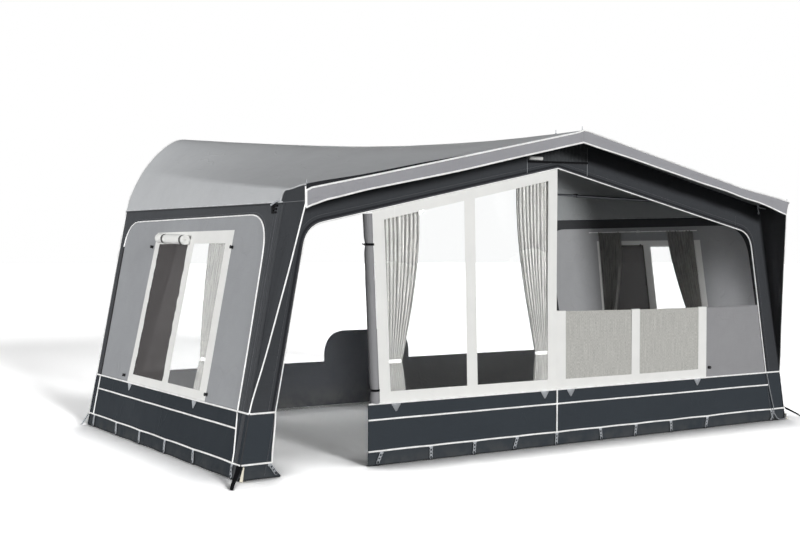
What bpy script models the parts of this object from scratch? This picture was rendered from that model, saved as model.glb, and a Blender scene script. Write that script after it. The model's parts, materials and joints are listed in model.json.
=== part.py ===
# Caravan awning: a sewn room that hangs from a caravan's awning rail and stands on a telescopic tube frame.
# Metres, +Z up, +X along the caravan, +Y towards it. The origin is on the floor, under the middle of the awning.
# Left and right are as seen from in front of the awning, looking at the caravan.

import math

import bmesh
import bpy
from mathutils import Matrix, Vector

# The room's outer sizes
floor_half = 2.675  # from the middle to a side wall's face, at the floor
eave_half = 2.3315  # the same at the front eave
eave_front = 1.808  # height where the roof meets a side wall, at the front
eave_rise = 0.030  # how much higher it is at the caravan
room_depth = 3.0  # from the front wall's face to the caravan's wall
shoulder_rise = 0.076  # from the front eave to where the roof turns flatter
ridge_front = 2.384
rail_height = 2.482  # the flat stretch of the caravan's rail
rail_flat_half = 1.80  # half of that stretch
rail_bend_share = 0.45  # how far each handle of the rail's bend reaches towards its corner
crease_share = 0.40  # where on that bend the side roof pole holds the roof up
ridge_sag = 0.018
canopy_reach = 0.29  # how far the canopy stands out from the front wall
valance_height = 0.10
mud_height = 0.428  # top of the dark mud walls
corner_width = 0.185  # from a corner to the zip of the front wall
header_height = 0.265  # from the gable's top line down to the zip's arch
arch_fillet = 0.13
fold_height = 1.028  # top of the front panel that is folded down

# Cloth and gaps
gap = 0.0003  # between faces that touch
weld = 0.00001  # how near two points of one piece are merged
cloth = 0.002
roof_cloth = 0.0025
mud_cloth = 0.003
foil = 0.0012
frame_cloth = 0.0015  # a window frame that is sewn on over a panel
curtain_cloth = 0.0012
bead_radius = 0.004
bead_play = 0.0012  # between the bead and the cloth that it is sewn to
flap_width = 0.025  # mud flap folded in on the floor
flap_bend = 0.010
flap_relief = 0.015  # cut from a flap at the corner
steep_steps = 3
bend_steps = 5
flat_steps = 3
roof_rows = 7
tube_sides = 16

# Side walls, as depths behind the front wall
wing_back = 0.020  # rear edge of a wing, where the side wall begins
wing_fillet = 0.045
wing_top_drop = 0.005
side_front = 0.165  # front edge of the light panel
side_back_border = 0.130
side_top_border = 0.080
side_front_fillet = 0.20
side_back_fillet = 0.26
side_window_front = 0.705
side_window_back_top = 2.155
side_window_back_foot = 2.243
side_window_drop = 0.098  # from the light panel's top down to the window's
side_front_strip = 0.115
side_back_strip = 0.092
side_mullion = 0.112
side_top_strip = 0.092
side_foot_strip = 0.070
window_seam = 0.030  # how far a window frame laps over its panel
blind_radius = 0.042
blind_lead = 0.062  # how far the rolled blind starts in front of its pane
blind_margin = 0.165  # from the roll's rear end to the window's rear edge

# Front window, to the left of the middle seam
front_window_top_edge = 1.661
front_window_foot_edge = 1.598
front_strip = 0.092
front_seam_strip = 0.090
front_mullion = 0.095
front_top_strip = 0.080
front_foot_strip = 0.080
foil_lap = 0.015
door_roll_radius = 0.037
door_roll_forward = 0.012  # the roll's axis behind the front wall's face
door_roll_length = 1.310
mud_door_edge = 1.697  # left end of the front mud wall

# Folded panel, to the right of the middle seam
half_window_edge = 1.655
half_first_strip = 0.092
half_mullion_start = 0.789
half_mullion = 0.089
half_last_strip = 0.098
half_foot_strip = 0.076
half_curtain_lap = 0.020
half_curtain_wave = 0.003
half_curtain_pitch = 0.16

# Curtains
side_curtain_rise = 0.065  # above the window's top
curtain_width = 0.315
curtain_tie_width = 0.075
curtain_foot_width = 0.115
curtain_tie_rise = 0.260  # from a curtain's foot to its tie
curtain_foot_rise = 0.027  # above the mud wall
curtain_margin = 0.030  # a curtain's outer edge beyond the pane it closes
curtain_top_fold = 0.007
curtain_tie_fold = 0.010
curtain_folds = 5
curtain_fold_steps = 4
curtain_rows = 9

# Skirt below the caravan
skirt_inset = 0.012
arch_left = -0.36
arch_right = 0.62
arch_height = 0.72
arch_radius = 0.24

# Tubes of the frame
post_radius = 0.014
post_bore = 0.0125
leg_radius = 0.0122
leg_bore = 0.0110
post_inset = 0.075  # a post's axis inside the outer faces of the walls
rear_post_inset = 0.060
rear_post_drop = 0.078  # from the rear eave down to the post's top
clamp_height = 0.760  # foot of each post's clamp
leg_engaged = 0.300  # length of leg inside its post
clamp_radius = 0.022
clamp_length = 0.068
clamp_overhang = 0.016  # the clamp's mouth below its post
clamp_chamfer = 0.004
clamp_bore_play = 0.0006
ear_width = 0.004
ear_reach = 0.018
ear_length = 0.024
lever_width = 0.012
lever_barrel = 0.0065
lever_thickness = 0.004
lever_length = 0.058
lever_lip = 0.010
lever_clear = 0.0012
lever_side_clear = 0.0006
pin_radius = 0.0022
foot_radius = 0.032
foot_thickness = 0.008
cup_radius = 0.019
cup_length = 0.045
foot_start = 0.004
foot_chamfer = 0.002
cup_wall = 0.002
head_radius = 0.020
head_height = 0.045
spigot_length = 0.050
socket_wall = 0.0035
socket_length = 0.034  # from a head's axis to a socket's mouth
socket_root = 0.010  # where a socket starts inside its head
gable_radius = 0.013
gable_bore = 0.0115
arm_radius = 0.0095
arm_bore = 0.0080
arm_notch = 0.0015
tee_length = 0.032
canopy_bend = 0.035
roof_pole_radius = 0.0125
roof_pole_bore = 0.0112
roof_slide_radius = 0.0109
roof_slide_bore = 0.0097
roof_pole_inset = 0.058  # a side roof pole's axis inside the crease of the roof, at the caravan
ridge_pole_drop = 0.045  # the middle roof pole's axis below the rail
roof_collar_depth = 2.200
roof_slide_engaged = 0.250
roof_collar_radius = 0.019
roof_collar_length = 0.050
pad_radius = 0.030
pad_thickness = 0.012
pad_chamfer = 0.002
cap_width = 0.020
cap_height = 0.030
rail_radius = 0.011
rail_height_inside = 0.985
rail_end_radius = 0.0145
rail_end_length = 0.030
zip_width = 0.011
zip_length = 0.022
zip_depth = 0.006
zip_tab_width = 0.006
zip_tab_length = 0.042
zip_tab_depth = 0.0018
door_zip_rise = 0.132  # above the mud wall
half_zip_rise = 0.047  # above the fold

# Values that follow from the sizes above
front_y = (canopy_reach - room_depth) / 2
rear_y = front_y + room_depth
cloth_rear = room_depth - 2 * bead_radius - bead_play  # rear edge of the cloth, behind the front wall's face
eave_rear = eave_front + eave_rise
shoulder_height = eave_front + shoulder_rise
side_back = room_depth - side_back_border
side_top = eave_front - side_top_border
side_window_top = side_top - side_window_drop
curtain_foot_height = mud_height + curtain_foot_rise
curtain_tie_height = curtain_foot_height + curtain_tie_rise
lean_share = (floor_half - eave_half) / eave_front
slope_length_share = math.hypot(1, lean_share)
LEFT, RIGHT = -1, 1
UP = Vector((0, 0, 1))
BACK = Vector((0, 1, 0))


def wall_x(height):
    """How far a side wall's outer face is from the middle."""
    return floor_half - lean_share * height


shoulder_half = wall_x(shoulder_height)
gable_share = (ridge_front - shoulder_height) / shoulder_half
gable_length_share = math.hypot(1, gable_share)
roof_drop = roof_cloth * gable_length_share + gap


def gable_z(x):
    """Height of the roof's outer face over the front wall."""
    return ridge_front - gable_share * abs(x)


def arch_z(x):
    return gable_z(x) - header_height


def zip_x(height):
    return wall_x(height) - corner_width


def lerp(start, end, share):
    return start + (end - start) * share


def steps(start, end, count):
    """count + 1 values from start to end."""
    return [lerp(start, end, i / count) for i in range(count + 1)]


# Scene and materials

for old in list(bpy.data.objects):
    bpy.data.objects.remove(old, do_unlink=True)
awning = bpy.data.collections.new("caravan_awning")
helpers = bpy.data.collections.new("helpers")
for collection in (awning, helpers):
    bpy.context.scene.collection.children.link(collection)


def linear(channel):
    """A colour channel as seen on a screen, made linear."""
    return channel / 12.92 if channel <= 0.04045 else ((channel + 0.055) / 1.055) ** 2.4


def material(name, colour, roughness, metallic=0.0, alpha=1.0):
    made = bpy.data.materials.new(name)
    made.use_nodes = True
    shader = made.node_tree.nodes["Principled BSDF"]
    rgb = [linear(channel / 255) for channel in colour]
    shader.inputs["Base Color"].default_value = (*rgb, 1)
    shader.inputs["Roughness"].default_value = roughness
    shader.inputs["Metallic"].default_value = metallic
    shader.inputs["Alpha"].default_value = alpha
    made.diffuse_color = (*rgb, alpha)
    return made


roof_grey = material("roof_grey", (150, 154, 158), 0.75)
panel_grey = material("panel_grey", (158, 159, 163), 0.80)
charcoal = material("charcoal_cloth", (58, 60, 64), 0.80)
mud_dark = material("mud_wall_cloth", (60, 64, 72), 0.60)
frame_white = material("white_frame_cloth", (240, 240, 238), 0.55)
clear_foil = material("clear_foil", (225, 230, 232), 0.08, alpha=0.3)
curtain_weave = material("curtain_weave", (176, 176, 172), 0.90)
skirt_dark = material("skirt_cloth", (52, 54, 57), 0.85)
steel = material("grey_steel_tube", (150, 152, 155), 0.35, metallic=0.9)
black_plastic = material("black_plastic", (28, 28, 30), 0.45)
bead_white = material("bead_cord", (230, 230, 228), 0.5)


# Tools for shapes


def place(obj, name, finish, matrix=None):
    """Gives an object its name, finish and place in the awning's collection."""
    obj.name = name
    obj.data.name = name
    obj.data.materials.append(finish)
    awning.objects.link(obj)
    if matrix is not None:
        obj.matrix_world = matrix
    return obj


def axes_at(origin, right, up, out):
    """A matrix whose columns are three unit vectors, with its origin at a point."""
    turned = Matrix((right, up, out)).transposed().to_4x4()
    return Matrix.Translation(origin) @ turned


def side_plane(side):
    """A side wall's plane: local X along the floor, local Y up the wall, local Z outwards."""
    up = Vector((-side * lean_share, 0, 1)).normalized()
    out = Vector((side, 0, lean_share)).normalized()
    return axes_at(Vector((side * floor_half, front_y, 0)), up.cross(out), up, out)


def upright_plane(depth):
    """A plane that faces the front, so many metres behind the front wall's face."""
    return axes_at(Vector((0, front_y + depth, 0)), Vector((1, 0, 0)), UP, -BACK)


front_plane = upright_plane(0)


def on_side(side, points):
    """Points given as depth and height, in a side wall's own plane."""
    flat = [(side * depth, height * slope_length_share) for depth, height in points]
    return flat


def rounded(corners, arc_steps=5):
    """An outline from corners (x, y, fillet), where a fillet is the length cut from each side of its corner."""
    outline = []
    for i, (x, y, fillet) in enumerate(corners):
        here = Vector((x, y))
        if not fillet:
            outline.append(tuple(here))
            continue
        before = Vector(corners[i - 1][:2])
        after = Vector(corners[(i + 1) % len(corners)][:2])
        start = here + (before - here).normalized() * fillet
        end = here + (after - here).normalized() * fillet
        for t in steps(0, 1, arc_steps):
            outline.append(tuple(start * (1 - t) ** 2 + here * 2 * t * (1 - t) + end * t**2))
    return outline


def shifted(outline, distance):
    """A convex outline moved inwards by a distance. It runs either way round."""
    points = [Vector(p) for p in outline]
    middle = sum(points, Vector((0, 0))) / len(points)
    moved = []
    for i, here in enumerate(points):
        lines = []
        for a, b in ((points[i - 1], here), (here, points[(i + 1) % len(points)])):
            normal = Vector((a.y - b.y, b.x - a.x)).normalized()
            if normal.dot(middle - a) < 0:
                normal = -normal
            lines.append((normal, normal.dot(a) + distance))
        (n1, c1), (n2, c2) = lines
        scale = n1.x * n2.y - n1.y * n2.x
        moved.append(((c1 * n2.y - c2 * n1.y) / scale, (n1.x * c2 - n2.x * c1) / scale))
    return moved


def sheet(name, plane, outlines, face, thickness, finish):
    """A flat sheet: its outer face lies at a height over the plane, and its first outline is the edge."""
    curve = bpy.data.curves.new(name, "CURVE")
    curve.dimensions = "2D"
    curve.fill_mode = "BOTH"
    curve.extrude = thickness / 2
    for outline in outlines:
        spline = curve.splines.new("POLY")
        spline.points.add(len(outline) - 1)
        for point, (x, y) in zip(spline.points, outline):
            point.co = (x, y, 0, 1)
        spline.use_cyclic_u = True
    obj = bpy.data.objects.new(name, curve)
    return place(obj, name, finish, plane @ Matrix.Translation((0, 0, face - thickness / 2)))


def surface(name, rows, thickness, finish, offset=-1, keep=None, mirrored=False):
    """A sheet through rows of points, thickened against its normal, which is a row's direction crossed with the next
    row's. A mirrored sheet is given as its half right of the middle."""
    mesh = bmesh.new()
    made = [[mesh.verts.new(point) for point in row] for row in rows]
    for r in range(len(rows) - 1):
        for c in range(len(rows[r]) - 1):
            if keep is None or keep(c, r):
                mesh.faces.new((made[r][c], made[r][c + 1], made[r + 1][c + 1], made[r + 1][c]))
    bmesh.ops.delete(mesh, geom=[v for v in mesh.verts if not v.link_faces], context="VERTS")
    data = bpy.data.meshes.new(name)
    mesh.to_mesh(data)
    mesh.free()
    data.shade_smooth()
    obj = place(bpy.data.objects.new(name, data), name, finish)
    if mirrored:
        mirror = obj.modifiers.new("other_half", "MIRROR")
        mirror.merge_threshold = weld
    wall = obj.modifiers.new("cloth", "SOLIDIFY")
    wall.thickness = thickness
    wall.offset = offset
    wall.use_even_offset = offset != 0
    return obj


def turned(name, profile, matrix, finish, closed=True, sides=tube_sides):
    """A turned solid: the profile (radius, height) runs down the outer side first."""
    data = bpy.data.meshes.new(name)
    edges = [(i, i + 1) for i in range(len(profile) - 1)]
    if closed:
        edges.append((len(profile) - 1, 0))
    data.from_pydata([(radius, 0, height) for radius, height in profile], edges, [])
    obj = place(bpy.data.objects.new(name, data), name, finish, matrix)
    screw = obj.modifiers.new("turn", "SCREW")
    screw.steps = sides
    screw.render_steps = sides
    screw.use_merge_vertices = True
    screw.merge_threshold = weld
    screw.use_smooth_shade = False
    return obj


def along(start, direction, across=BACK):
    """A matrix with its local Z along a direction, and its local Y as near to another as can be."""
    z = direction.normalized()
    y = (across - z * across.dot(z)).normalized()
    return axes_at(start, y.cross(z), y, z)


def tube(name, start, end, radius, bore, finish, across=BACK):
    length = (end - start).length
    profile = [(radius, length), (radius, 0), (bore, 0), (bore, length)]
    return turned(name, profile, along(start, end - start, across), finish)


def block(name, size, centre, matrix, finish, bevel=0):
    """A box in a matrix's own axes, with its edges rounded."""
    mesh = bmesh.new()
    bmesh.ops.create_cube(mesh, size=1)
    bmesh.ops.scale(mesh, vec=size, verts=mesh.verts)
    bmesh.ops.translate(mesh, vec=centre, verts=mesh.verts)
    data = bpy.data.meshes.new(name)
    mesh.to_mesh(data)
    mesh.free()
    obj = place(bpy.data.objects.new(name, data), name, finish, matrix)
    if bevel:
        rounding = obj.modifiers.new("rounding", "BEVEL")
        rounding.width = bevel
        rounding.segments = 1
    return obj


def wire(name, points, radius, finish, resolution=2):
    """A round bar along a line of points."""
    curve = bpy.data.curves.new(name, "CURVE")
    curve.dimensions = "3D"
    curve.bevel_depth = radius
    curve.bevel_resolution = resolution
    curve.use_fill_caps = True
    spline = curve.splines.new("POLY")
    spline.points.add(len(points) - 1)
    for point, co in zip(spline.points, points):
        point.co = (*co, 1)
    return place(bpy.data.objects.new(name, curve), name, finish)


def fuse(base, *others):
    """Joins solids that overlap into one body."""
    for other in others:
        awning.objects.unlink(other)
        helpers.objects.link(other)
        other.hide_render = True
        other.display_type = "WIRE"
        join = base.modifiers.new("join_" + other.name, "BOOLEAN")
        join.operation = "UNION"
        join.solver = "EXACT"
        join.object = other
    return base


# Roof, canopy and wings


def rail_bend(t):
    """A point (x, z) of the caravan's rail, from the eave, 0, to the end of the flat stretch, 1."""
    foot = Vector((wall_x(eave_rear), eave_rear))
    top = Vector((rail_flat_half, rail_height))
    corner = Vector((wall_x(rail_height), rail_height))
    a = foot.lerp(corner, rail_bend_share)
    b = top.lerp(corner, rail_bend_share)
    return foot * (1 - t) ** 3 + a * 3 * t * (1 - t) ** 2 + b * 3 * t * t * (1 - t) + top * t**3


def rail_half():
    """Half of the roof's rear edge, from the eave to the middle."""
    line = [rail_bend(t) for t in steps(0, crease_share, steep_steps)]
    line += [rail_bend(t) for t in steps(crease_share, 1, bend_steps)[1:]]
    line += [Vector((x, rail_height)) for x in steps(rail_flat_half, 0, flat_steps)[1:]]
    return line


def gable_half():
    """Half of the roof's edge over the front wall, from the eave to the ridge."""
    eave = Vector((wall_x(eave_front), eave_front))
    shoulder = Vector((shoulder_half, shoulder_height))
    line = [eave.lerp(shoulder, t) for t in steps(0, 1, steep_steps)]
    line += [Vector((x, gable_z(x))) for x in steps(shoulder_half, 0, bend_steps + flat_steps)[1:]]
    return line


def roof_line(depth):
    """The roof's outer face at a depth behind the front wall, from the ridge to the right eave."""
    share = max(0, min(1, depth / cloth_rear))
    half = []
    for i, (front, rear) in enumerate(zip(gable_half(), rail_half())):
        x, z = front.lerp(rear, share)
        sag = ridge_sag * 4 * share * (1 - share) * min(1, i / steep_steps)
        half.append(Vector((x, front_y + depth, z - sag)))
    return half[::-1]


def roof_under(x, depth):
    """Height of the roof's inner face, with the gap that a piece below it keeps."""
    line = roof_line(depth)
    for a, b in zip(line, line[1:]):
        if x <= b.x:
            break
    return lerp(a.z, b.z, (x - a.x) / (b.x - a.x)) - roof_drop


def roof():
    depths = [gap + cloth - canopy_reach, 0, wing_back]
    depths += steps(wing_back, cloth_rear, roof_rows)[1:]
    rows = [roof_line(depth) for depth in depths]
    last = len(rows[0]) - 1

    def keep(column, row):
        return column < last - steep_steps or depths[row] >= wing_back

    surface("roof_panel", rows, roof_cloth, roof_grey, keep=keep, mirrored=True)


def valance():
    top = [(x, gable_z(x)) for x in (-shoulder_half, 0, shoulder_half)]
    foot = shoulder_height - valance_height
    low = [(wall_x(foot), foot), (0, ridge_front - valance_height), (-wall_x(foot), foot)]
    sheet("canopy_valance", upright_plane(-canopy_reach), [top + low], 0, cloth, roof_grey)


def wing(side, name):
    tip = cloth + gap - canopy_reach
    top = shoulder_height - wing_top_drop
    corners = [
        (wing_back - gap, mud_height + gap, 0),
        (wing_back - gap, top, wing_fillet),
        (tip, top, 0),
        (tip, shoulder_height - valance_height, 0),
        (0, mud_height + gap, 0),
    ]
    outline = on_side(side, rounded(corners))
    sheet(name, side_plane(side), [outline], 0, cloth, charcoal)


# Side walls


def eave_z(depth):
    return lerp(eave_front, eave_rear, depth / cloth_rear)


def side_arch(shrink):
    """The seam between a side wall's border and its light panel, open at the foot."""
    foot = mud_height + gap
    return rounded(
        [
            (side_front + shrink, foot, 0),
            (side_front + shrink, side_top - shrink, side_front_fillet),
            (side_back - shrink, side_top - shrink, side_back_fillet),
            (side_back - shrink, foot, 0),
        ]
    )


def side_border(side, name):
    start = wing_back
    foot = mud_height + gap
    outer = [(cloth_rear, foot), (cloth_rear, eave_z(cloth_rear) - gap)]
    outer += [(start, eave_z(start) - gap), (start, foot)]
    sheet(name, side_plane(side), [on_side(side, side_arch(0) + outer)], 0, cloth, charcoal)


def side_window_outline():
    foot = mud_height + gap
    return [
        (side_window_front, foot),
        (side_window_front, side_window_top),
        (side_window_back_top, side_window_top),
        (side_window_back_foot, foot),
    ]


def two_panes(near, far, foot, top, near_strip, far_strip, mullion):
    """Two panes between slanting edges: near(z) and far(z) are edges, and top(x) is the height of a pane's top."""

    def middle(height):
        return (near(height) + far(height)) / 2

    way = 1 if far(foot) > near(foot) else -1
    left = lambda h: near(h) + way * near_strip
    right = lambda h: far(h) - way * far_strip
    panes = []
    for a, b in (
        (left, lambda h: middle(h) - way * mullion / 2),
        (lambda h: middle(h) + way * mullion / 2, right),
    ):
        corners = [(a(foot), foot)]
        for edge in (a, b):
            height = top(edge(foot))
            corners.append((edge(height), top(edge(height))))
        corners.append((b(foot), foot))
        panes.append(corners)
    return panes


def side_panes():
    def far(height):
        share = (height - mud_height) / (side_window_top - mud_height)
        return lerp(side_window_back_foot, side_window_back_top, share)

    return two_panes(
        lambda height: side_window_front,
        far,
        mud_height + side_foot_strip,
        lambda depth: side_window_top - side_top_strip,
        side_front_strip,
        side_back_strip,
        side_mullion,
    )


def side_window(side, end):
    plane = side_plane(side)
    outline = side_window_outline()
    hole = shifted(outline, window_seam)
    panel = on_side(side, side_arch(gap))
    sheet("side_panel_" + end, plane, [panel, on_side(side, hole)], 0, cloth, panel_grey)
    frame = [on_side(side, outline)] + [on_side(side, pane) for pane in side_panes()]
    sheet("side_window_frame_" + end, plane, frame, gap + frame_cloth, frame_cloth, frame_white)
    pane = on_side(side, shifted(hole, gap))
    sheet("side_window_foil_" + end, plane, [pane], 0, foil, clear_foil)


def roll_outline(radius, step_share=0.10, points=20):
    """The end of a rolled cloth, whose free edge shows as a step at local -Y."""
    outline = []
    for i in range(points):
        share = i / (points - 1)
        angle = (share * 2 - 1 / 2) * math.pi
        reach = radius * (1 - step_share * share)
        outline.append((reach * math.cos(angle), reach * math.sin(angle)))
    return outline


def roll(name, matrix, radius, length, finish):
    return sheet(name, matrix, [roll_outline(radius)], length, length, finish)


def side_blind(side, name):
    """A foil blind, rolled up over the rear pane on the outside."""
    pane = side_panes()[1]
    ends = (pane[0][0] - blind_lead, side_window_back_top - blind_margin)
    start, end = sorted(side * depth for depth in ends)
    height = (side_window_top - side_top_strip / 2) * slope_length_share
    out = gap + frame_cloth + gap + blind_radius
    plane = side_plane(side)
    across = plane.to_3x3() @ Vector((1, 0, 0))
    outward = plane.to_3x3() @ Vector((0, 0, 1))
    start_point = plane @ Vector((start, height, out))
    roll(name, along(start_point, across, outward), blind_radius, end - start, frame_white)


# Front wall


def notch(x, z, radius):
    """A slot in the top edge of the front border, where an arm of the canopy's frame passes."""
    half = radius + arm_notch
    low = z - half
    ends = [(x - half, gable_z(x - half) - roof_drop), (x + half, gable_z(x + half) - roof_drop)]
    return [ends[0], (x - half, low), (x + half, low), ends[1]]


def front_border():
    inset = (cloth + gap) * slope_length_share
    foot = mud_height + gap
    top = shoulder_height - roof_drop - cloth
    half = [(wall_x(foot) - inset, foot), (wall_x(top) - inset, top)]
    half += notch(head_x(RIGHT), arm_at_wall(RIGHT), arm_radius)[::-1]
    edge = [(-x, z) for x, z in half]
    outer = edge + notch(0, arm_at_wall(0), arm_radius) + half[::-1]
    corner = zip_x(0)
    for _ in range(4):
        corner = zip_x(arch_z(corner))
    inner = rounded(
        [
            (zip_x(foot), foot, 0),
            (corner, arch_z(corner), arch_fillet),
            (0, arch_z(0), 0),
            (-corner, arch_z(corner), arch_fillet),
            (-zip_x(foot), foot, 0),
        ]
    )
    sheet("front_border", front_plane, [outer + inner], 0, cloth, charcoal)


def front_window_edge(height):
    """x of the front window's outer edge."""
    share = (height - mud_height) / (arch_z(front_window_top_edge) - mud_height)
    return -lerp(front_window_foot_edge, front_window_top_edge, share)


def front_panes():
    return two_panes(
        front_window_edge,
        lambda height: -gap / 2,
        mud_height + front_foot_strip,
        lambda x: arch_z(x) - front_top_strip,
        front_strip,
        front_seam_strip,
        front_mullion,
    )


def front_window():
    foot = mud_height + gap
    top = arch_z(front_window_top_edge) - gap
    outline = [(front_window_edge(foot), foot), (front_window_edge(top), top)]
    outline += [(-gap / 2, arch_z(0) - gap), (-gap / 2, foot)]
    panes = front_panes()
    sheet("front_window_frame", front_plane, [outline] + panes, 0, cloth, frame_white)
    first, second = panes
    around = [first[0], first[1], second[2], second[3]]
    sheet("front_window_foil", front_plane, [shifted(around, -foil_lap)], -cloth - gap, foil, clear_foil)


def door_roll():
    """The doorway's panel, rolled up against the window's outer edge."""
    foot = mud_height + gap
    top = foot + door_roll_length
    foot_x, top_x = front_window_edge(foot), front_window_edge(top)
    lean = Vector((top_x - foot_x, 0, top - foot))
    inset = (door_roll_radius + 2 * gap) * lean.length / lean.z
    foot_z = foot + door_roll_radius * abs(lean.x) / lean.z
    start = Vector((foot_x - inset, front_y + door_roll_forward, foot_z))
    roll("door_roll", along(start, lean, -BACK), door_roll_radius, lean.length, panel_grey)


def half_panel():
    """The panel right of the seam, folded down: its window frame, its light cloth and the curtain behind it."""
    foot = mud_height + gap
    strip_top = mud_height + half_foot_strip
    edges = [
        (gap / 2, half_first_strip),
        (half_mullion_start, half_mullion_start + half_mullion),
        (half_window_edge - half_last_strip, half_window_edge),
    ]
    outline = [(half_window_edge, foot), (gap / 2, foot)]
    for i, (start, end) in enumerate(edges):
        if i:
            outline.append((start, strip_top))
        outline += [(start, fold_height), (end, fold_height)]
        if i < len(edges) - 1:
            outline.append((end, strip_top))
    sheet("half_window_frame", front_plane, [outline], 0, cloth, frame_white)
    start = half_window_edge + gap
    panel = [(start, foot), (start, fold_height), (zip_x(fold_height) - gap, fold_height), (zip_x(foot) - gap, foot)]
    sheet("half_panel", front_plane, [panel], 0, cloth, panel_grey)
    count = round((half_window_edge - 2 * half_curtain_lap) / half_curtain_pitch) * 4
    rows = []
    for z in steps(mud_height + half_curtain_lap, fold_height - gap, 2):
        row = []
        for i, x in enumerate(steps(half_curtain_lap, half_window_edge - half_curtain_lap, count)):
            wave = half_curtain_wave * (1 - math.cos(i * math.pi / 2))
            row.append((x, front_y + cloth + gap + curtain_cloth / 2 + wave, z))
        rows.append(row)
    surface("half_curtain", rows, curtain_cloth, curtain_weave, offset=0)


# Mud walls


def mud_profile():
    """(distance in from the wall's face, height) from the flap's inner edge on the floor up to the wall's top."""
    bend = [(flap_bend * (1 - math.sin(a)), flap_bend * (1 - math.cos(a))) for a in steps(0, math.pi / 2, 3)]
    return [(flap_width, 0)] + bend + [(0, mud_height)]


def mud_side(side, name):
    rows = []
    for inward, z in mud_profile():
        flap = inward > flap_bend
        start = flap_width + gap if flap else 0
        end = cloth_rear - (flap_width if flap else 0)
        row = []
        for depth in (start, end) if side == RIGHT else (end, start):
            row.append((side * (wall_x(z) - inward), front_y + depth, z))
        rows.append(row)
    surface(name, rows, mud_cloth, mud_dark)


def mud_front(name, left, right):
    """A stretch of the front mud wall between left(z) and right(z)."""
    rows = []
    for inward, z in mud_profile():
        rows.append([(x, front_y + inward, z) for x in (left(z, inward), right(z, inward))])
    surface(name, rows, mud_cloth, mud_dark)


def mud_walls():
    mud_side(LEFT, "mud_wall_left")
    mud_side(RIGHT, "mud_wall_right")

    def corner(z, inward):
        if inward > flap_bend / 2:
            return floor_half - flap_width - gap
        return wall_x(z) - (mud_cloth + gap) * slope_length_share - flap_relief * (z < flap_bend)

    mud_front("mud_wall_front", lambda z, i: -mud_door_edge, lambda z, i: zip_x(z) - gap / 2)
    mud_front("mud_corner_right", lambda z, i: zip_x(z) + gap / 2, corner)
    mud_front("mud_corner_left", lambda z, i: -corner(z, i), lambda z, i: -zip_x(mud_height))


# Curtains


def curtain(name, plane, edge, way, top, face, sloped=1):
    """A curtain gathered by its tie. edge is its outer edge in the plane, way is towards the pane's middle."""
    columns = curtain_folds * curtain_fold_steps
    rows = []
    heights = steps(curtain_foot_height, curtain_tie_height, 2)
    heights += steps(curtain_tie_height, top, curtain_rows - 2)[1:]
    for z in heights:
        if z < curtain_tie_height:
            share = (curtain_tie_height - z) / (curtain_tie_height - curtain_foot_height)
            widest, fold = curtain_foot_width, curtain_tie_fold
        else:
            share = (z - curtain_tie_height) / (top - curtain_tie_height)
            widest, fold = curtain_width, lerp(curtain_tie_fold, curtain_top_fold, share)
        width = lerp(curtain_tie_width, widest, math.sin(share * math.pi / 2))
        row = []
        for i in range(columns + 1):
            wave = fold * (1 - math.cos(i * 2 * math.pi / curtain_fold_steps)) / 2
            x = edge + way * width * i / columns
            row.append(plane @ Vector((x, z * sloped, face - gap - curtain_cloth / 2 - wave)))
        rows.append(row)
    surface(name, rows, curtain_cloth, curtain_weave, offset=0)


def curtains():
    outer, inner = front_panes()
    face = -cloth - gap - foil
    left_edge = outer[1][0] - curtain_margin
    right_edge = inner[3][0] + curtain_margin
    curtain("front_curtain_left", front_plane, left_edge, 1, arch_z(left_edge) - front_top_strip / 2, face)
    curtain("front_curtain_right", front_plane, right_edge, -1, arch_z(curtain_width) - front_top_strip / 2, face)
    near, far = side_panes()
    for side, end in ((LEFT, "left"), (RIGHT, "right")):
        plane = side_plane(side)
        front_edge = side * (near[0][0] - curtain_margin)
        back_edge = side * (far[2][0] + curtain_margin)
        top = side_window_top + side_curtain_rise
        curtain("side_curtain_front_" + end, plane, front_edge, side, top, -cloth, slope_length_share)
        curtain("side_curtain_rear_" + end, plane, back_edge, -side, top, -cloth, slope_length_share)


# Skirt and rail bead


def skirt():
    inset = (mud_cloth + gap) * slope_length_share
    corner = floor_half - flap_width - gap
    half = [(corner, 0), (wall_x(flap_bend) - inset, flap_bend), (wall_x(mud_height) - inset, mud_height)]
    fillet = min(arch_radius, arch_height - mud_height)
    arch = [
        (arch_left, mud_height, 0),
        (arch_left, arch_height, fillet),
        (arch_right, arch_height, fillet),
        (arch_right, mud_height, 0),
    ]
    outline = [(-x, z) for x, z in half] + rounded(arch) + half[::-1]
    depth = room_depth - skirt_inset
    sheet("draught_skirt", upright_plane(depth), [outline], 0, cloth, skirt_dark)


def rail_bead():
    """The cord sewn into the rear edge, which slides in the caravan's rail."""
    half = [Vector((wall_x(mud_height + gap), mud_height + gap))]
    half += [rail_bend(t) for t in steps(0, 1, steep_steps + bend_steps)]
    line = [(-p.x, p.y) for p in half] + [(p.x, p.y) for p in half[::-1]]
    inset = cloth / 2
    points = []
    for x, z in line:
        points.append((x - math.copysign(inset, x), rear_y - bead_radius, z - (inset if z > eave_rear else 0)))
    wire("rail_bead", points, bead_radius, bead_white, resolution=1)


# Frame


def lean_axis(side):
    """The direction up a side wall, or straight up in the middle."""
    return Vector((-side * lean_share, 0, 1)).normalized()


def post_point(side, height, inset, depth):
    """A point on a post's axis. side is 0 for the middle post."""
    return Vector((side * (wall_x(height) - inset), front_y + depth, height))


def head_top(side):
    """Height of the middle of a head's top, which bears on the roof's cloth. side is 0 for the middle post."""
    reach = head_radius - clamp_chamfer
    height = shoulder_height
    for _ in range(4):
        x = wall_x(height) - post_inset if side else 0
        height = roof_under(x + reach, post_inset) - (reach * lean_share if side else 0)
    return height


def head_foot(side):
    return head_top(side) - head_height


def arm_z(side):
    """Height of the poles' axes at a head."""
    return head_top(side) - gable_radius - socket_wall


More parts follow.
